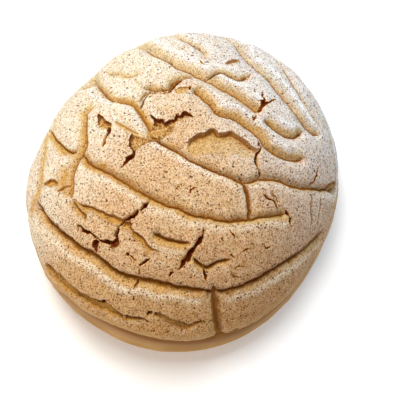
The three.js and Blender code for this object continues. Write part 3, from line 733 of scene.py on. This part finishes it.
# a recess: inside its ring the depth goes from full at the brow to a share of it at the sill, by the
# distances to both
def recessInto(layers, pixels, mark, ragged):
    brow = np.array(mark["brow"], float)
    sill = np.array([mark["brow"][-1], *mark["sill"], mark["brow"][0]], float)
    ring = np.vstack([brow, sill[1:-1]])
    near = nearLine(pixels, ring, sinking["reach"])
    inside = within(pixels[near], ring)
    around, near = near[~inside], near[inside]
    # painted highlight on the plate past the sill
    if mark["rimHighlight"]:
        rimHighlight = mark["rimHighlight"] * bell(toEdge(pixels[around], sill), sinking["highlightReach"])
        keepLarger(layers["rimHighlight"], around, rimHighlight)
    fromBrow, fromSill = (toEdge(pixels[near], edge) for edge in (brow, sill))
    share = fromSill / (fromSill + fromBrow + 0.01)  # never divides by 0
    edge = smooth(0, sinking["wall"], fromBrow) * smooth(0, sinking["wall"], fromSill)
    rise = sinking["sillShare"] + (1 - sinking["sillShare"]) * share
    depth = mark["depth"] * edge * rise * (1 + sinking["ragged"] * ragged[near])
    keepLarger(layers["depth"], near, depth)
    # torn is highest at the brow, where its dark is partly painted shadow
    for name, atBrow in (("gold", share**2), ("torn", bell(fromBrow, sinking["tornReach"]))):
        brows, sills = mark[name]
        keepLarger(layers[name], near, sills + (brows - sills) * atBrow)
    # painted shadow under the brow
    if mark["crease"]:
        keepLarger(layers["crease"], near, sinking["creaseGain"] * bell(fromBrow, mark["crease"]))


# all that shapes the paste: its depth below the skin and what of that is scored or sunk, how bare each
# place is, how white with painted highlight, how dark with painted shade in creases, and how torn, and
# where its lumps are high
def toppingRelief(points):
    names = ("depth", "gold", "rimHighlight", "crease", "torn", "roll", "lift")
    layers = {name: np.zeros(len(points)) for name in names}
    soft, rough = wander(points, relief["soft"]), wander(points, relief["rough"])
    ragged = lumps(points, *relief["ragged"])
    normal = skinNormal(points)

    layers["depth"] += scoring["start"]
    for k, mark in enumerate(scoredLines.values()):
        scoreInto(layers, soft, markLine(mark), mark, scoring["firstSeed"] + scoring["seeds"] * k)
    layers["depth"] = np.maximum(layers["depth"], 0) + relief["roll"] * layers["roll"]
    layers["rimHighlight"] *= 1 - relief["highlightLost"] * smooth(*relief["highlightLostAt"], layers["depth"])
    print(f"scored {len(scoredLines)} lines")

    for mark in swells.values():
        line = markLine(mark)
        near = nearLine(soft, line, relief["swellReach"] * mark["width"])
        across, _, toEnd = lineDistance(soft[near], line)
        swell = mark["height"] * bell(across, mark["width"]) * smooth(*relief["swellTip"], toEnd)
        keepLarger(layers["lift"], near, swell)
    layers["depth"] -= layers["lift"] + relief["rim"] * layers["rimHighlight"]
    print(f"raised {len(swells)} swells")

    surface = wander(points, relief["seen"]) + (relief["proud"] - layers["depth"])[:, None] * normal
    pixels = toPixels(surface)
    pixels[np.einsum("ij,ij->i", normal, eye - points) < 0] = sight["hidden"]
    for mark in recesses.values():
        recessInto(layers, pixels, mark, ragged)
    layers["scored"] = layers["depth"].copy()
    print(f"sank {len(recesses)} recesses")

    for mark in tornLines.values():
        tearInto(layers, rough, markLine(mark, True), mark, ragged)
    print(f"tore {len(tornLines)} breaks")

    layers["depth"] = np.minimum(layers["depth"], relief["deepest"])
    low = unevenness(points, relief["lumps"])
    layers["depth"] += low + unevenness(points, relief["swellings"]) - relief["proud"]
    layers["high"] = -low / relief["lumpHeight"]
    rubble = unevenness(points, relief["crumbs"]) + ragged
    broken = relief["rubbleTorn"] * layers["torn"] + relief["rubbleGold"] * layers["gold"]
    layers["depth"] += broken * rubble
    return {name: layers[name] for name in ("depth", "scored", "gold", "rimHighlight", "crease", "torn", "high")}


# grid of values averaged over a bell of the given width in cells
def blurred(grid, cells):
    reach = int(3 * cells)
    weights = np.exp(-0.5 * (np.arange(-reach, reach + 1) / cells) ** 2)
    weights = weights / weights.sum()
    n = len(grid)
    wide = np.pad(grid, reach, mode="edge")
    rows = sum(weight * wide[:, i : i + n] for i, weight in enumerate(weights))
    return sum(weight * rows[i : i + n] for i, weight in enumerate(weights))


# mesh from points in millimetres, quads, triangles and values kept on the points
def makeMesh(name, points, quads, triangles, layers, material):
    mesh = bpy.data.meshes.new(name)
    corners = np.concatenate([quads.ravel(), triangles.ravel()]).astype(np.int32)
    sizes = np.concatenate([np.full(len(quads), 4), np.full(len(triangles), 3)])
    mesh.vertices.add(len(points))
    mesh.vertices.foreach_set("co", (points * mm).astype(np.float32).ravel())
    mesh.loops.add(len(corners))
    mesh.loops.foreach_set("vertex_index", corners)
    mesh.polygons.add(len(sizes))
    mesh.polygons.foreach_set("loop_start", (np.cumsum(sizes) - sizes).astype(np.int32))
    mesh.polygons.foreach_set("use_smooth", np.ones(len(sizes), bool))
    mesh.update(calc_edges=True)
    mesh.validate()
    for key, values in layers.items():
        full = np.zeros(len(points), np.float32)
        full[: len(values)] = values
        mesh.attributes.new(key, "FLOAT", "POINT").data.foreach_set("value", full)
    mesh.materials.append(material)
    piece = bpy.data.objects.new(name, mesh)
    bpy.context.collection.objects.link(piece)
    print(f"{name}: {len(points)} points, {len(quads) * 2 + len(triangles)} triangles")
    return piece


def pasteDepth(latitude):
    thinned = smooth(bun["pasteThinsFrom"], bun["pasteEdge"], latitude)
    return bun["pasteThickness"] + (bun["pasteEdgeThickness"] - bun["pasteThickness"]) * thinned


# the paste's edge goes up and down, and what lies above and below goes with it, less and less
def swayed(latitude, angle):
    hold = np.minimum(latitude / bun["pasteEdge"], 1) * np.clip(2 - latitude, 0, 1)
    rise, towards, spread = bun["edgeRise"]
    turn = (np.degrees(angle) - towards + 180) % 360 - 180
    return latitude + (wave(bun["edgeWaves"], angle) - rise * bell(turn, spread)) * hold


# triangles between a ring and the next one in, which has as many points or half as many
def ringFaces(outer, inner):
    c, d = np.roll(inner, -1), inner
    if len(inner) == len(outer):
        a, b = outer, np.roll(outer, -1)
        triangles = (a, d, c), (a, c, b)
    else:
        first, second, third = outer[::2], outer[1::2], np.roll(outer[::2], -1)
        triangles = (first, d, second), (second, d, c), (second, c, third)
    return np.vstack([np.stack(corners, -1) for corners in triangles])


topping = {
    "grid": 441,  # points along each side
    "kept": 0.48,  # share of the triangles
    "stations": 600,  # of the table of latitudes
    "lipRound": 2.0, "lipSmooth": (2.5, 6.0),  # the edge's radius, and where its smoother strip ends
    "leastThickness": 0.35,
    "edgeTurn": (0.004, 0.8),  # latitudes past the paste's edge, share of its thickness
    "innerRings": 14, "fewestPoints": 100,
    "hollows": {"hollow": 1.6, "nook": 0.6},  # how wide the hollows are that get painted shade
}


# the cap of paste: a square grid laid on a disc (rings of the square become circles) and the disc on the
# dome, cut by the relief; its edge rolls under and closes with rings that halve on the way to the crown
def makeTopping(material):
    n = topping["grid"]
    a, b = np.meshgrid(np.linspace(-1, 1, n), np.linspace(-1, 1, n))
    radius = np.maximum(np.abs(a), np.abs(b)).ravel()
    big, small = np.where(np.abs(a) > np.abs(b), (a, b), (b, a)).reshape(2, -1)
    part = np.pi / 4 * np.divide(small, big, out=np.zeros(n * n), where=big != 0)
    level = (np.abs(a) > np.abs(b)).ravel()
    angle = np.where(level, part, np.pi / 2 - part) + np.where(big < 0, np.pi, 0)

    edge = bun["pasteEdge"]
    table = np.linspace(0, edge, topping["stations"])  # even steps on the disc are even along the dome
    run = runAlong(outline(table))
    latitude = np.interp(radius * run[-1], run, table)
    skin = skinPoint(swayed(latitude, angle), angle)
    layers = toppingRelief(skin)
    depth = layers.pop("depth")
    cell = 2 * run[-1] / (n - 1)
    scored = layers.pop("scored").reshape(n, n)
    # hollow and nook: the relief below its blur, which carries painted shade
    for name, reach in topping["hollows"].items():
        layers[name] = (scored - blurred(scored, reach / cell)).ravel()
    fromEdge = (1 - radius) * run[-1]
    layers["lip"] = 1 - smooth(*topping["lipSmooth"], fromEdge)
    lip = topping["lipRound"]
    depth += lip - np.sqrt(lip**2 - np.clip(lip - fromEdge, 0, lip) ** 2)
    depth = np.minimum(depth, pasteDepth(latitude) - topping["leastThickness"])
    outer = skin - skinNormal(skin) * depth[:, None]

    grid = np.arange(n * n).reshape(n, n)
    quads = np.stack([grid[:-1, :-1], grid[:-1, 1:], grid[1:, 1:], grid[1:, :-1]], -1).reshape(-1, 4)
    border = np.concatenate([grid[0, :-1], grid[:-1, -1], grid[-1, :0:-1], grid[:0:-1, 0]])
    points, triangles, ring = [outer], [], border
    count = n * n
    thick = bun["pasteEdgeThickness"]
    past, share = topping["edgeTurn"]
    under = [(edge + past, share * thick), (edge, thick)]
    under += [(x, pasteDepth(x)) for x in np.linspace(edge, 0, topping["innerRings"] + 1)[1:-1]]
    for k, (ringLatitude, ringDepth) in enumerate(under):
        halve = k > 1 and len(ring) % 2 == 0 and len(ring) > topping["fewestPoints"]
        ringAngle = angle[border][:: len(border) // (len(ring) // (2 if halve else 1))]
        points.append(skinPoint(swayed(ringLatitude, ringAngle), ringAngle, ringDepth))
        inner = count + np.arange(len(ringAngle))
        triangles.append(ringFaces(ring, inner))
        count += len(inner)
        ring = inner
    points.append(skinPoint(0.0, 0.0, bun["pasteThickness"])[None])
    triangles.append(np.stack([ring, np.full(len(ring), count), np.roll(ring, -1)], -1))
    piece = makeMesh("sugarTopping", np.vstack(points), quads, np.vstack(triangles), layers, material)
    thinned = piece.modifiers.new("thinned", "DECIMATE")  # fewer triangles where the paste is even
    thinned.ratio = topping["kept"]
    return piece


bread = {
    "columns": 360, "sideRows": 60, "domeRows": 20,
    "footRows": (2.9, 2.6, 2.3, 2.1),
    "ledge": [(0.036, 1.6), (0.026, 2.2), (0.018, 2.8)],  # latitudes past the paste's edge, and depth
    "sideEnd": 0.05, "domeStart": 0.012,  # latitudes past the paste's edge
    "tuck": 0.9, "tuckStart": 0.18, "lipShadowStart": 0.11,  # the side goes in under the paste, where it is darkened by painted shadow
    "unevenFrom": (2.0, 1.8),  # latitudes above the foot's rim
    "swellings": [(16, 0.35, 71), (5, 0.12, 72)],  # size, height and seed of unevenness
}


# the bread: stations of latitude and depth carried round, lower under the paste by the paste's thickness
def makeBread(material):
    edge = bun["pasteEdge"]
    sideEnd = edge + bread["sideEnd"]
    side = np.linspace(2, sideEnd, bread["sideRows"])
    dome = np.linspace(edge + bread["domeStart"], 0, bread["domeRows"], endpoint=False)
    stations = np.array(
        [(x, 0) for x in bread["footRows"]]
        + [(x, bread["tuck"] * smooth(edge + bread["tuckStart"], sideEnd, x)) for x in side]
        + [(edge + past, depth) for past, depth in bread["ledge"]]
        + [(x, pasteDepth(x) + bun["pasteGap"]) for x in dome]
    )
    angle = np.linspace(0, 2 * np.pi, bread["columns"], endpoint=False)
    latitude = swayed(stations[:, :1], angle[None])
    points = skinPoint(latitude, angle[None], stations[:, 1:])
    rows, columns = points.shape[:2]
    shown = smooth(*bread["unevenFrom"], stations[:, :1]) * smooth(edge, sideEnd, stations[:, :1])
    swell = np.abs(unevenness(points.reshape(-1, 3), bread["swellings"]).reshape(rows, columns))
    points = points - skinNormal(points) * (shown * swell)[..., None]
    # painted shadow under the paste's lip
    tuck = np.repeat(smooth(edge + bread["lipShadowStart"], sideEnd, stations[:, 0]), columns)
    grid = np.arange(rows * columns).reshape(rows, columns)
    east = np.roll(grid, -1, 1)
    quads = np.stack([grid[:-1], grid[1:], east[1:], east[:-1]], -1).reshape(-1, 4)[:, ::-1]
    foot, crown = rows * columns, rows * columns + 1
    ends = [
        np.stack([np.full(columns, foot), east[0], grid[0]], -1),
        np.stack([np.full(columns, crown), grid[-1], east[-1]], -1),
    ]
    poles = np.array([(0, 0, 0), (0, 0, bun["height"] - bun["pasteThickness"] - bun["pasteGap"])])
    allPoints = np.vstack([points.reshape(-1, 3), poles])
    return makeMesh("breadBody", allPoints, quads, np.vstack(ends), {"tuck": tuck}, material)


# A shader socket that takes part in Python expressions
class Wire:
    def __init__(self, finish, socket):
        self.finish, self.socket = finish, socket

    def math(self, operation, first, second=0.0):
        return self.finish.node("ShaderNodeMath", {"operation": operation}, {0: first, 1: second})

    def __add__(self, other):
        return self.math("ADD", self, other)

    def __sub__(self, other):
        return self.math("SUBTRACT", self, other)

    def __rsub__(self, other):
        return self.math("SUBTRACT", other, self)

    def __mul__(self, other):
        return self.math("MULTIPLY", self, other)

    __radd__, __rmul__ = __add__, __mul__


# A material under construction: every node comes from node()
class Finish:
    def __init__(self, name):
        self.material = bpy.data.materials.new(name)
        self.material.use_nodes = True
        self.tree = self.material.node_tree
        self.tree.nodes.clear()

    def node(self, kind, settings={}, sockets={}, out=0):
        made = self.tree.nodes.new(kind)
        for key, value in settings.items():
            setattr(made, key, value)
        for key, value in sockets.items():
            if isinstance(value, Wire):
                self.tree.links.new(value.socket, made.inputs[key])
            else:
                made.inputs[key].default_value = value
        return Wire(self, made.outputs[out]) if made.outputs else made

    def mix(self, amount, first, second, blend="MIX"):
        settings = {"data_type": "RGBA", "blend_type": blend, "clamp_factor": True}
        return self.node("ShaderNodeMix", settings, {0: amount, 6: first, 7: second}, 2)

    # 0 to an amount, smoothly, as a value goes from one end to the other
    def shows(self, value, look):
        low, high, amount = look
        settings = {"interpolation_type": "SMOOTHSTEP"}
        return self.node("ShaderNodeMapRange", settings, {0: value, 1: low, 2: high, 4: amount})

    def layer(self, name):
        return self.node("ShaderNodeAttribute", {"attribute_name": name}, {}, 2)

    def noise(self, place, size, detail, rough):
        sockets = {"Vector": place, "Scale": 1 / (size * mm), "Detail": detail, "Roughness": rough}
        return self.node("ShaderNodeTexNoise", {}, sockets)

    def cells(self, place, size, out=0):
        sockets = {"Vector": place, "Scale": 1 / (size * mm), "Randomness": 1.0}
        return self.node("ShaderNodeTexVoronoi", {"feature": "F1"}, sockets, out)

    def close(self, shader):
        self.node("ShaderNodeOutputMaterial", {}, {"Surface": shader})
        return self.material


paste = {
    "cream": (0.88, 0.77, 0.62, 1),
    "toasted": (0.77, 0.525, 0.305, 1),
    # painted cool shade for the right side
    "cool": (0.75, 0.695, 0.68, 1),
    # dark brown: painted shade at the near right, and the darker tone low down
    "darkBrown": (0.52, 0.26, 0.09, 1),
    "band": (0.70, 0.42, 0.17, 1),
    "lipTan": (0.56, 0.37, 0.18, 1),
    "sugar": (0.97, 0.93, 0.89, 1),
    "goldPale": (1.0, 0.76, 0.36, 1),
    "goldDeep": (0.78, 0.43, 0.09, 1),
    # gold in painted shade, for the front
    "goldShadeFront": (0.77, 0.405, 0.09, 1),
    "goldPit": (0.62, 0.50, 0.36, 1),
    "goldGrain": (1.12, 1.20, 1.35, 1),
    # gold in painted cool shade, for the right
    "goldCoolShade": (0.74, 0.53, 0.26, 1),
    "shaded": (0.74, 0.35, 0.075, 1),
    # brown of painted shade in creases and nooks, and also the brown of crumbs in breaks
    "creaseBrown": (0.36, 0.125, 0.011, 1),
    # dark of breaks: the crust colour, with painted shadow under a brow
    "tornDeep": (0.16, 0.025, 0.003, 1),
    "tornFloor": (0.72, 0.32, 0.06, 1),
    # warm painted highlight for rims in front
    "highlightWarm": (0.95, 0.80, 0.60, 1),
    "lowTint": (0.86, 0.70, 0.50, 1),
    "gritDark": (0.40, 0.24, 0.11, 1),
    "gritLight": (1.17, 1.20, 1.26, 1),
    "noises": [(14, 3, 0.5), (3.0, 3, 0.6), (1.0, 3, 0.65), (0.45, 3, 0.65)],  # size, detail, roughness
    "gritSize": 0.32,
    "lipAmount": 0.5, "goldAmount": 0.94, "shadeAmount": 0.65,
    "farLoss": 0.35, "farLitGold": 0.7,  # gold and painted shade that the far side lacks, and how much paler its gold is painted there as brighter light
    "lipBare": 0.75,  # share of the grit and specks that the lip lacks
    "goldLessGrit": 0.5, "goldLessSpecks": 0.3,  # and that bare gold lacks
    "toastGrit": 0.3,  # share of the dark grit that comes with toasting
    "plainGrain": 0.6,  # height of the grain away from bare gold
    "looks": {  # the values at which a look sets in and is full, and how much of it there is
        "toasted": (0.053, -0.005, 1.0),
        # painted cool shade at the right
        "cool": (0.0, 0.045, 0.75),
        # painted shade at the near right
        "paintedShadeRight": (0.015, 0.045, 0.45),
        "darkerLow": (0.027, 0.006, 0.55),
        "band": (-0.046, -0.054, 0.55),
        "high": (0.0, 1.2, 0.15),
        "low": (0.0, -1.2, 0.25),
        "mottled": (0.50, 0.66, 0.6),
        "golden": (0.0, 0.9, 1.0),
        "goldDeep": (0.3, 1.0, 1.0),
        # painted shade on the gold in front, and painted cool shade on it at the right
        "goldShadeFront": (0.036, -0.01, 0.75),
        "goldCoolShade": (0.0, 0.04, 0.6),
        "goldPit": (0.5, 0.75, 0.8),
        "goldGrain": (0.48, 0.28, 0.7),
        # the far side: paler gold and less shade, as painted light
        "far": (0.012, 0.04, 1.0),
        # painted shade in hollows and nooks
        "hollow": (0.15, 0.9, 1.0),
        "nook": (0.05, 0.4, 0.7),
        # painted shade along creases and under brows
        "crease": (0.3, 0.85, 0.9),
        # painted highlight on rims
        "highlighted": (0.15, 0.8, 0.76),
        "highlightWarm": (0.012, -0.024, 1.0),
        # painted highlight on narrow ridges
        "ridgeHighlight": (-0.04, -0.3, 0.12),
        "floorPale": (0.46, 0.58, 0.9),
        "floorBrown": (0.52, 0.44, 1.0),
        "torn": (0.1, 0.4, 1.0),
        "tornDeep": (0.5, 0.85, 1.0),
        "tornBare": (0.2, 0.5, 1.0),
        "gritDark": (0.54, 0.88, 1.0),
        "gritLight": (0.5, 0.05, 1.0),
    },
    "specks": [  # spacing, radius, tint, strength
        (2.1, 0.36, (0.10, 0.03, 0.004, 1), 0.97),
        (1.3, 0.26, (0.18, 0.06, 0.008, 1), 0.97),
        (0.95, 0.19, (0.32, 0.13, 0.025, 1), 0.8),
    ],
    "speckEdge": (1.1, 0.7),  # radii at which a speck sets in and is full
    "bump": {"Strength": 0.9, "Distance": 0.0007},
    "surface": {
        "Roughness": 0.92, "Specular IOR Level": 0.06,
        "Subsurface Weight": 0.3, "Subsurface Radius": (1.0, 0.5, 0.2), "Subsurface Scale": 0.0014,
    },
}


# sugar paste: cream, toasted towards the front, with painted cool shade at the right and painted shade at
# the near right, a painted highlight on its rims, golden where a line is bare, brown painted shade in hollows
# and creases, dark in breaks, with cinnamon specks and a dry grain
def makePaste():
    f = Finish("sugarPaste")
    looks = paste["looks"]
    place = f.node("ShaderNodeTexCoord", {}, {}, 3)
    gold, rimHighlight, crease, torn = (f.layer(name) for name in ("gold", "rimHighlight", "crease", "torn"))
    hollow, nook, high, lip = (f.layer(name) for name in ("hollow", "nook", "high", "lip"))
    cloud, blotch, grain, fine = (f.noise(place, *noise) for noise in paste["noises"])
    middle = 0.5  # of a noise
    cloudSway, blotchSway, grainSway, fineSway = (noise - middle for noise in (cloud, blotch, grain, fine))
    grit = f.cells(place, paste["gritSize"], 1)
    right, back, height = (f.node("ShaderNodeSeparateXYZ", {}, {0: place}, k) for k in range(3))
    far = f.shows(back, looks["far"])

    # the plates: cream to toasted, cooler at the far right with painted cool shade, darker at the near right
    # with painted shade, and darker low down
    toast = f.shows(back + right.math("ABSOLUTE", right) * 0.85 - right * 0.25, looks["toasted"])
    toast = toast + cloudSway * 0.5 + blotchSway * 0.4
    colour = f.mix(toast, paste["cream"], paste["toasted"])
    # painted cool shade on the right side
    colour = f.mix(f.shows(right + back * 0.5, looks["cool"]), colour, paste["cool"])
    # painted shade at the near right
    colour = f.mix(f.shows(right * 0.6 - back * 0.8, looks["paintedShadeRight"]), colour, paste["darkBrown"])
    # darker low down
    low = f.shows(height + back * 0.3 - right * 0.12, looks["darkerLow"])
    colour = f.mix(low, colour, paste["darkBrown"])
    colour = f.mix(f.shows(back + right * 0.35, looks["band"]), colour, paste["band"])
    colour = f.mix(lip * paste["lipAmount"], colour, paste["lipTan"])
    colour = f.mix(f.shows(high, looks["high"]), colour, paste["cream"])
    colour = f.mix(f.shows(high, looks["low"]), colour, paste["lowTint"], "MULTIPLY")
    mottled = f.shows(grain + blotchSway * 0.4, looks["mottled"])
    colour = f.mix(mottled, colour, paste["lowTint"], "MULTIPLY")

    # the bare gold: deeper where it is barer, with painted shade in front, paler far back as painted light,
    # painted cool shade at the right, sandy
    golden = f.shows(gold + grainSway * 0.4 + blotchSway * 0.4, looks["golden"])
    deep = f.shows(gold + fineSway * 0.8 + grainSway * 0.6, looks["goldDeep"])
    goldTint = f.mix(deep, paste["goldPale"], paste["goldDeep"])
    # painted shade on the gold in front
    goldTint = f.mix(f.shows(back - right * 0.15, looks["goldShadeFront"]), goldTint, paste["goldShadeFront"])
    # paler gold far back, painted as brighter light
    goldTint = f.mix(far * paste["farLitGold"], goldTint, paste["goldPale"])
    # painted cool shade on the gold at the right
    goldTint = f.mix(f.shows(right, looks["goldCoolShade"]), goldTint, paste["goldCoolShade"])
    colour = f.mix(golden * (paste["goldAmount"] - far * paste["farLoss"]), colour, goldTint)
    sandy = fine + (grit - middle) * 0.35
    colour = f.mix(f.shows(sandy, looks["goldPit"]) * golden, colour, paste["goldPit"], "MULTIPLY")
    colour = f.mix(f.shows(sandy, looks["goldGrain"]) * golden, colour, paste["goldGrain"], "MULTIPLY")

    # brown painted shade in hollows and creases, white painted highlight on rims and ridges
    shade = f.shows(hollow, looks["hollow"]) * (paste["shadeAmount"] - far * paste["farLoss"])
    colour = f.mix(shade, colour, paste["shaded"])
    # painted shade in narrow nooks
    colour = f.mix(f.shows(nook + grainSway * 0.15, looks["nook"]), colour, paste["creaseBrown"])
    # painted shade along creases and under the brows of recesses
    colour = f.mix(f.shows(crease + grainSway * 0.7, looks["crease"]), colour, paste["creaseBrown"])
    # painted highlight on the rims, white at the back and warm in front
    highlighted = f.shows(rimHighlight + grainSway * 0.35 + blotchSway * 0.3, looks["highlighted"])
    highlightTint = f.mix(f.shows(back, looks["highlightWarm"]), paste["sugar"], paste["highlightWarm"])
    colour = f.mix(highlighted, colour, highlightTint)
    # painted highlight on narrow ridges, where the relief stands above its blur
    colour = f.mix(f.shows(nook, looks["ridgeHighlight"]), colour, paste["sugar"])

    # breaks: crumbs on a bare floor, dark where it is torn most, which under a brow is partly painted shadow
    crumbs = (grain + fine) * 0.5
    floorTint = f.mix(f.shows(crumbs, looks["floorPale"]), paste["tornFloor"], paste["goldPale"])
    floorBrown = f.shows(crumbs + blotchSway * 0.4, looks["floorBrown"])
    floorTint = f.mix(floorBrown, floorTint, paste["creaseBrown"])
    colour = f.mix(f.shows(torn, looks["torn"]), colour, floorTint)
    # dark of breaks, partly painted shadow under the brow of a recess
    tornDeep = f.shows(torn + grainSway * 0.4 + blotchSway * 0.5, looks["tornDeep"])
    colour = f.mix(tornDeep, colour, paste["tornDeep"])

    # grit and specks, fewer on the lip and on bare gold
    offLip = 1 - lip * paste["lipBare"]
    rough = offLip * (1 - golden * paste["goldLessGrit"])
    share = 1 - paste["toastGrit"] + toast * paste["toastGrit"]
    dark = f.shows(grit, looks["gritDark"]) * share * rough
    colour = f.mix(dark, colour, paste["gritDark"], "MULTIPLY")
    colour = f.mix(f.shows(grit, looks["gritLight"]) * rough, colour, paste["gritLight"], "MULTIPLY")
    clean = (1 - golden * paste["goldLessSpecks"]) * (1 - f.shows(torn, looks["tornBare"])) * offLip
    for spacing, radius, tint, strength in paste["specks"]:
        dots = f.cells(place, spacing) + blotchSway * 0.35 + fineSway * 0.2
        begin, full = (radius / spacing * edge for edge in paste["speckEdge"])
        colour = f.mix(f.shows(dots, (begin, full, strength)) * clean, colour, tint)

    grainHeight = fine * (paste["plainGrain"] + golden) + grain * paste["plainGrain"]
    normal = f.node("ShaderNodeBump", {}, {**paste["bump"], "Height": grainHeight})
    sockets = {**paste["surface"], "Base Color": colour, "Normal": normal}
    return f.close(f.node("ShaderNodeBsdfPrincipled", {}, sockets))


crust = {
    "tan": (0.46, 0.23, 0.045, 1), "pale": (0.55, 0.30, 0.08, 1), "brown": (0.36, 0.15, 0.028, 1),
    # the brown of painted shadow under the paste, and how much of it
    "lipShadow": (0.30, 0.11, 0.012, 1), "lipShadowAmount": 0.85,
    "noises": [(12, 4, 0.5), (0.8, 3, 0.6)],  # size, detail, roughness
    "looks": {  # the values at which a look sets in and is full, and how much of it there is
        "pale": (0.35, 0.7, 1.0), "low": (0.010, 0.0, 0.7), "grainy": (0.55, 0.8, 0.25),
    },
    "bump": {"Strength": 0.25, "Distance": 0.0002},
    "surface": {"Roughness": 0.55, "Specular IOR Level": 0.35},
}


# bread crust: smooth and satin, tan with paler clouds, browner at the foot's rim and in its grain, and
# darker under the paste with painted shadow
def makeCrust():
    f = Finish("breadCrust")
    looks = crust["looks"]
    place = f.node("ShaderNodeTexCoord", {}, {}, 3)
    height = f.node("ShaderNodeSeparateXYZ", {}, {0: place}, 2)
    cloud, grain = (f.noise(place, *noise) for noise in crust["noises"])
    colour = f.mix(f.shows(cloud, looks["pale"]), crust["tan"], crust["pale"])
    colour = f.mix(f.shows(height, looks["low"]), colour, crust["brown"])
    colour = f.mix(f.shows(grain, looks["grainy"]), colour, crust["brown"])
    # painted shadow under the paste's lip
    colour = f.mix(f.layer("tuck") * crust["lipShadowAmount"], colour, crust["lipShadow"])
    normal = f.node("ShaderNodeBump", {}, {**crust["bump"], "Height": grain})
    sockets = {**crust["surface"], "Base Color": colour, "Normal": normal}
    return f.close(f.node("ShaderNodeBsdfPrincipled", {}, sockets))


breadPiece = makeBread(makeCrust())
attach(breadPiece, "root")
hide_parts("bread")
toppingPiece = makeTopping(makePaste())
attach(toppingPiece, "root")
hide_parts("topping")

studio = {
    "floorHalf": 3.0,
    "floorSurface": {
        "Base Color": (0.95, 0.95, 0.95, 1), "Roughness": 0.9, "Specular IOR Level": 0.1,
        "Emission Color": (1, 1, 1, 1), "Emission Strength": 0.25,
    },
    "sky": (1.0, 1.0, 1.0, 1),
    "skyStrength": 0.12,
    "lamps": [  # name, place, width, watts, colour
        ("key", (-0.32, 0.56, 0.77), 0.5, 5.0, (1.0, 0.98, 0.9)),
        ("overhead", (-0.06, 0.1, 1.0), 0.5, 6.6, (1.0, 0.99, 0.96)),
        ("cool", (0.66, 0.56, 0.5), 0.6, 3.5, (0.34, 0.67, 1.0)),
        ("warm", (-0.63, -0.53, 0.57), 0.8, 2.5, (1.0, 0.86, 0.70)),
    ],
    "lampsAim": (0, 0, 0.03),
    "sensorWidth": 36,
}


def turnTo(holder, direction):
    holder.rotation_euler = Vector(direction).to_track_quat("-Z", "Y").to_euler()


def makeStudio():
    half = studio["floorHalf"]
    corners = [(-half, -half, 0), (half, -half, 0), (half, half, 0), (-half, half, 0)]
    floorMesh = bpy.data.meshes.new("floor")
    floorMesh.from_pydata(corners, [], [(0, 1, 2, 3)])
    f = Finish("floorPaper")
    floorMesh.materials.append(f.close(f.node("ShaderNodeBsdfPrincipled", {}, studio["floorSurface"])))
    floor = bpy.data.objects.new("floor", floorMesh)
    bpy.context.collection.objects.link(floor)

    world = bpy.data.worlds.new("studioSky")
    world.use_nodes = True
    sky = world.node_tree.nodes["Background"]
    sky.inputs[0].default_value = studio["sky"]
    sky.inputs[1].default_value = studio["skyStrength"]
    bpy.context.scene.world = world
    bpy.context.scene.view_settings.view_transform = "Standard"

    for name, place, width, watts, colour in studio["lamps"]:
        lamp = bpy.data.lights.new(name, "AREA")
        lamp.size, lamp.energy, lamp.color = width, watts, colour
        holder = bpy.data.objects.new(name, lamp)
        holder.location = place
        turnTo(holder, Vector(studio["lampsAim"]) - Vector(place))
        bpy.context.collection.objects.link(holder)

    lens = bpy.data.cameras.new("camera")
    lens.sensor_width = studio["sensorWidth"]
    lens.lens = lens.sensor_width * sight["distance"] * sight["pixelsPerMm"] / sight["imageWidth"]
    camera = bpy.data.objects.new("camera", lens)
    aim = sightPlane([(sight["imageWidth"] / 2, sight["imageWidth"] / 2)])[0]
    camera.location = Vector(eye * mm)
    turnTo(camera, aim - eye)
    bpy.context.collection.objects.link(camera)
    bpy.context.scene.camera = camera
    print("studio: floor, sky, lamps and camera")


makeStudio()
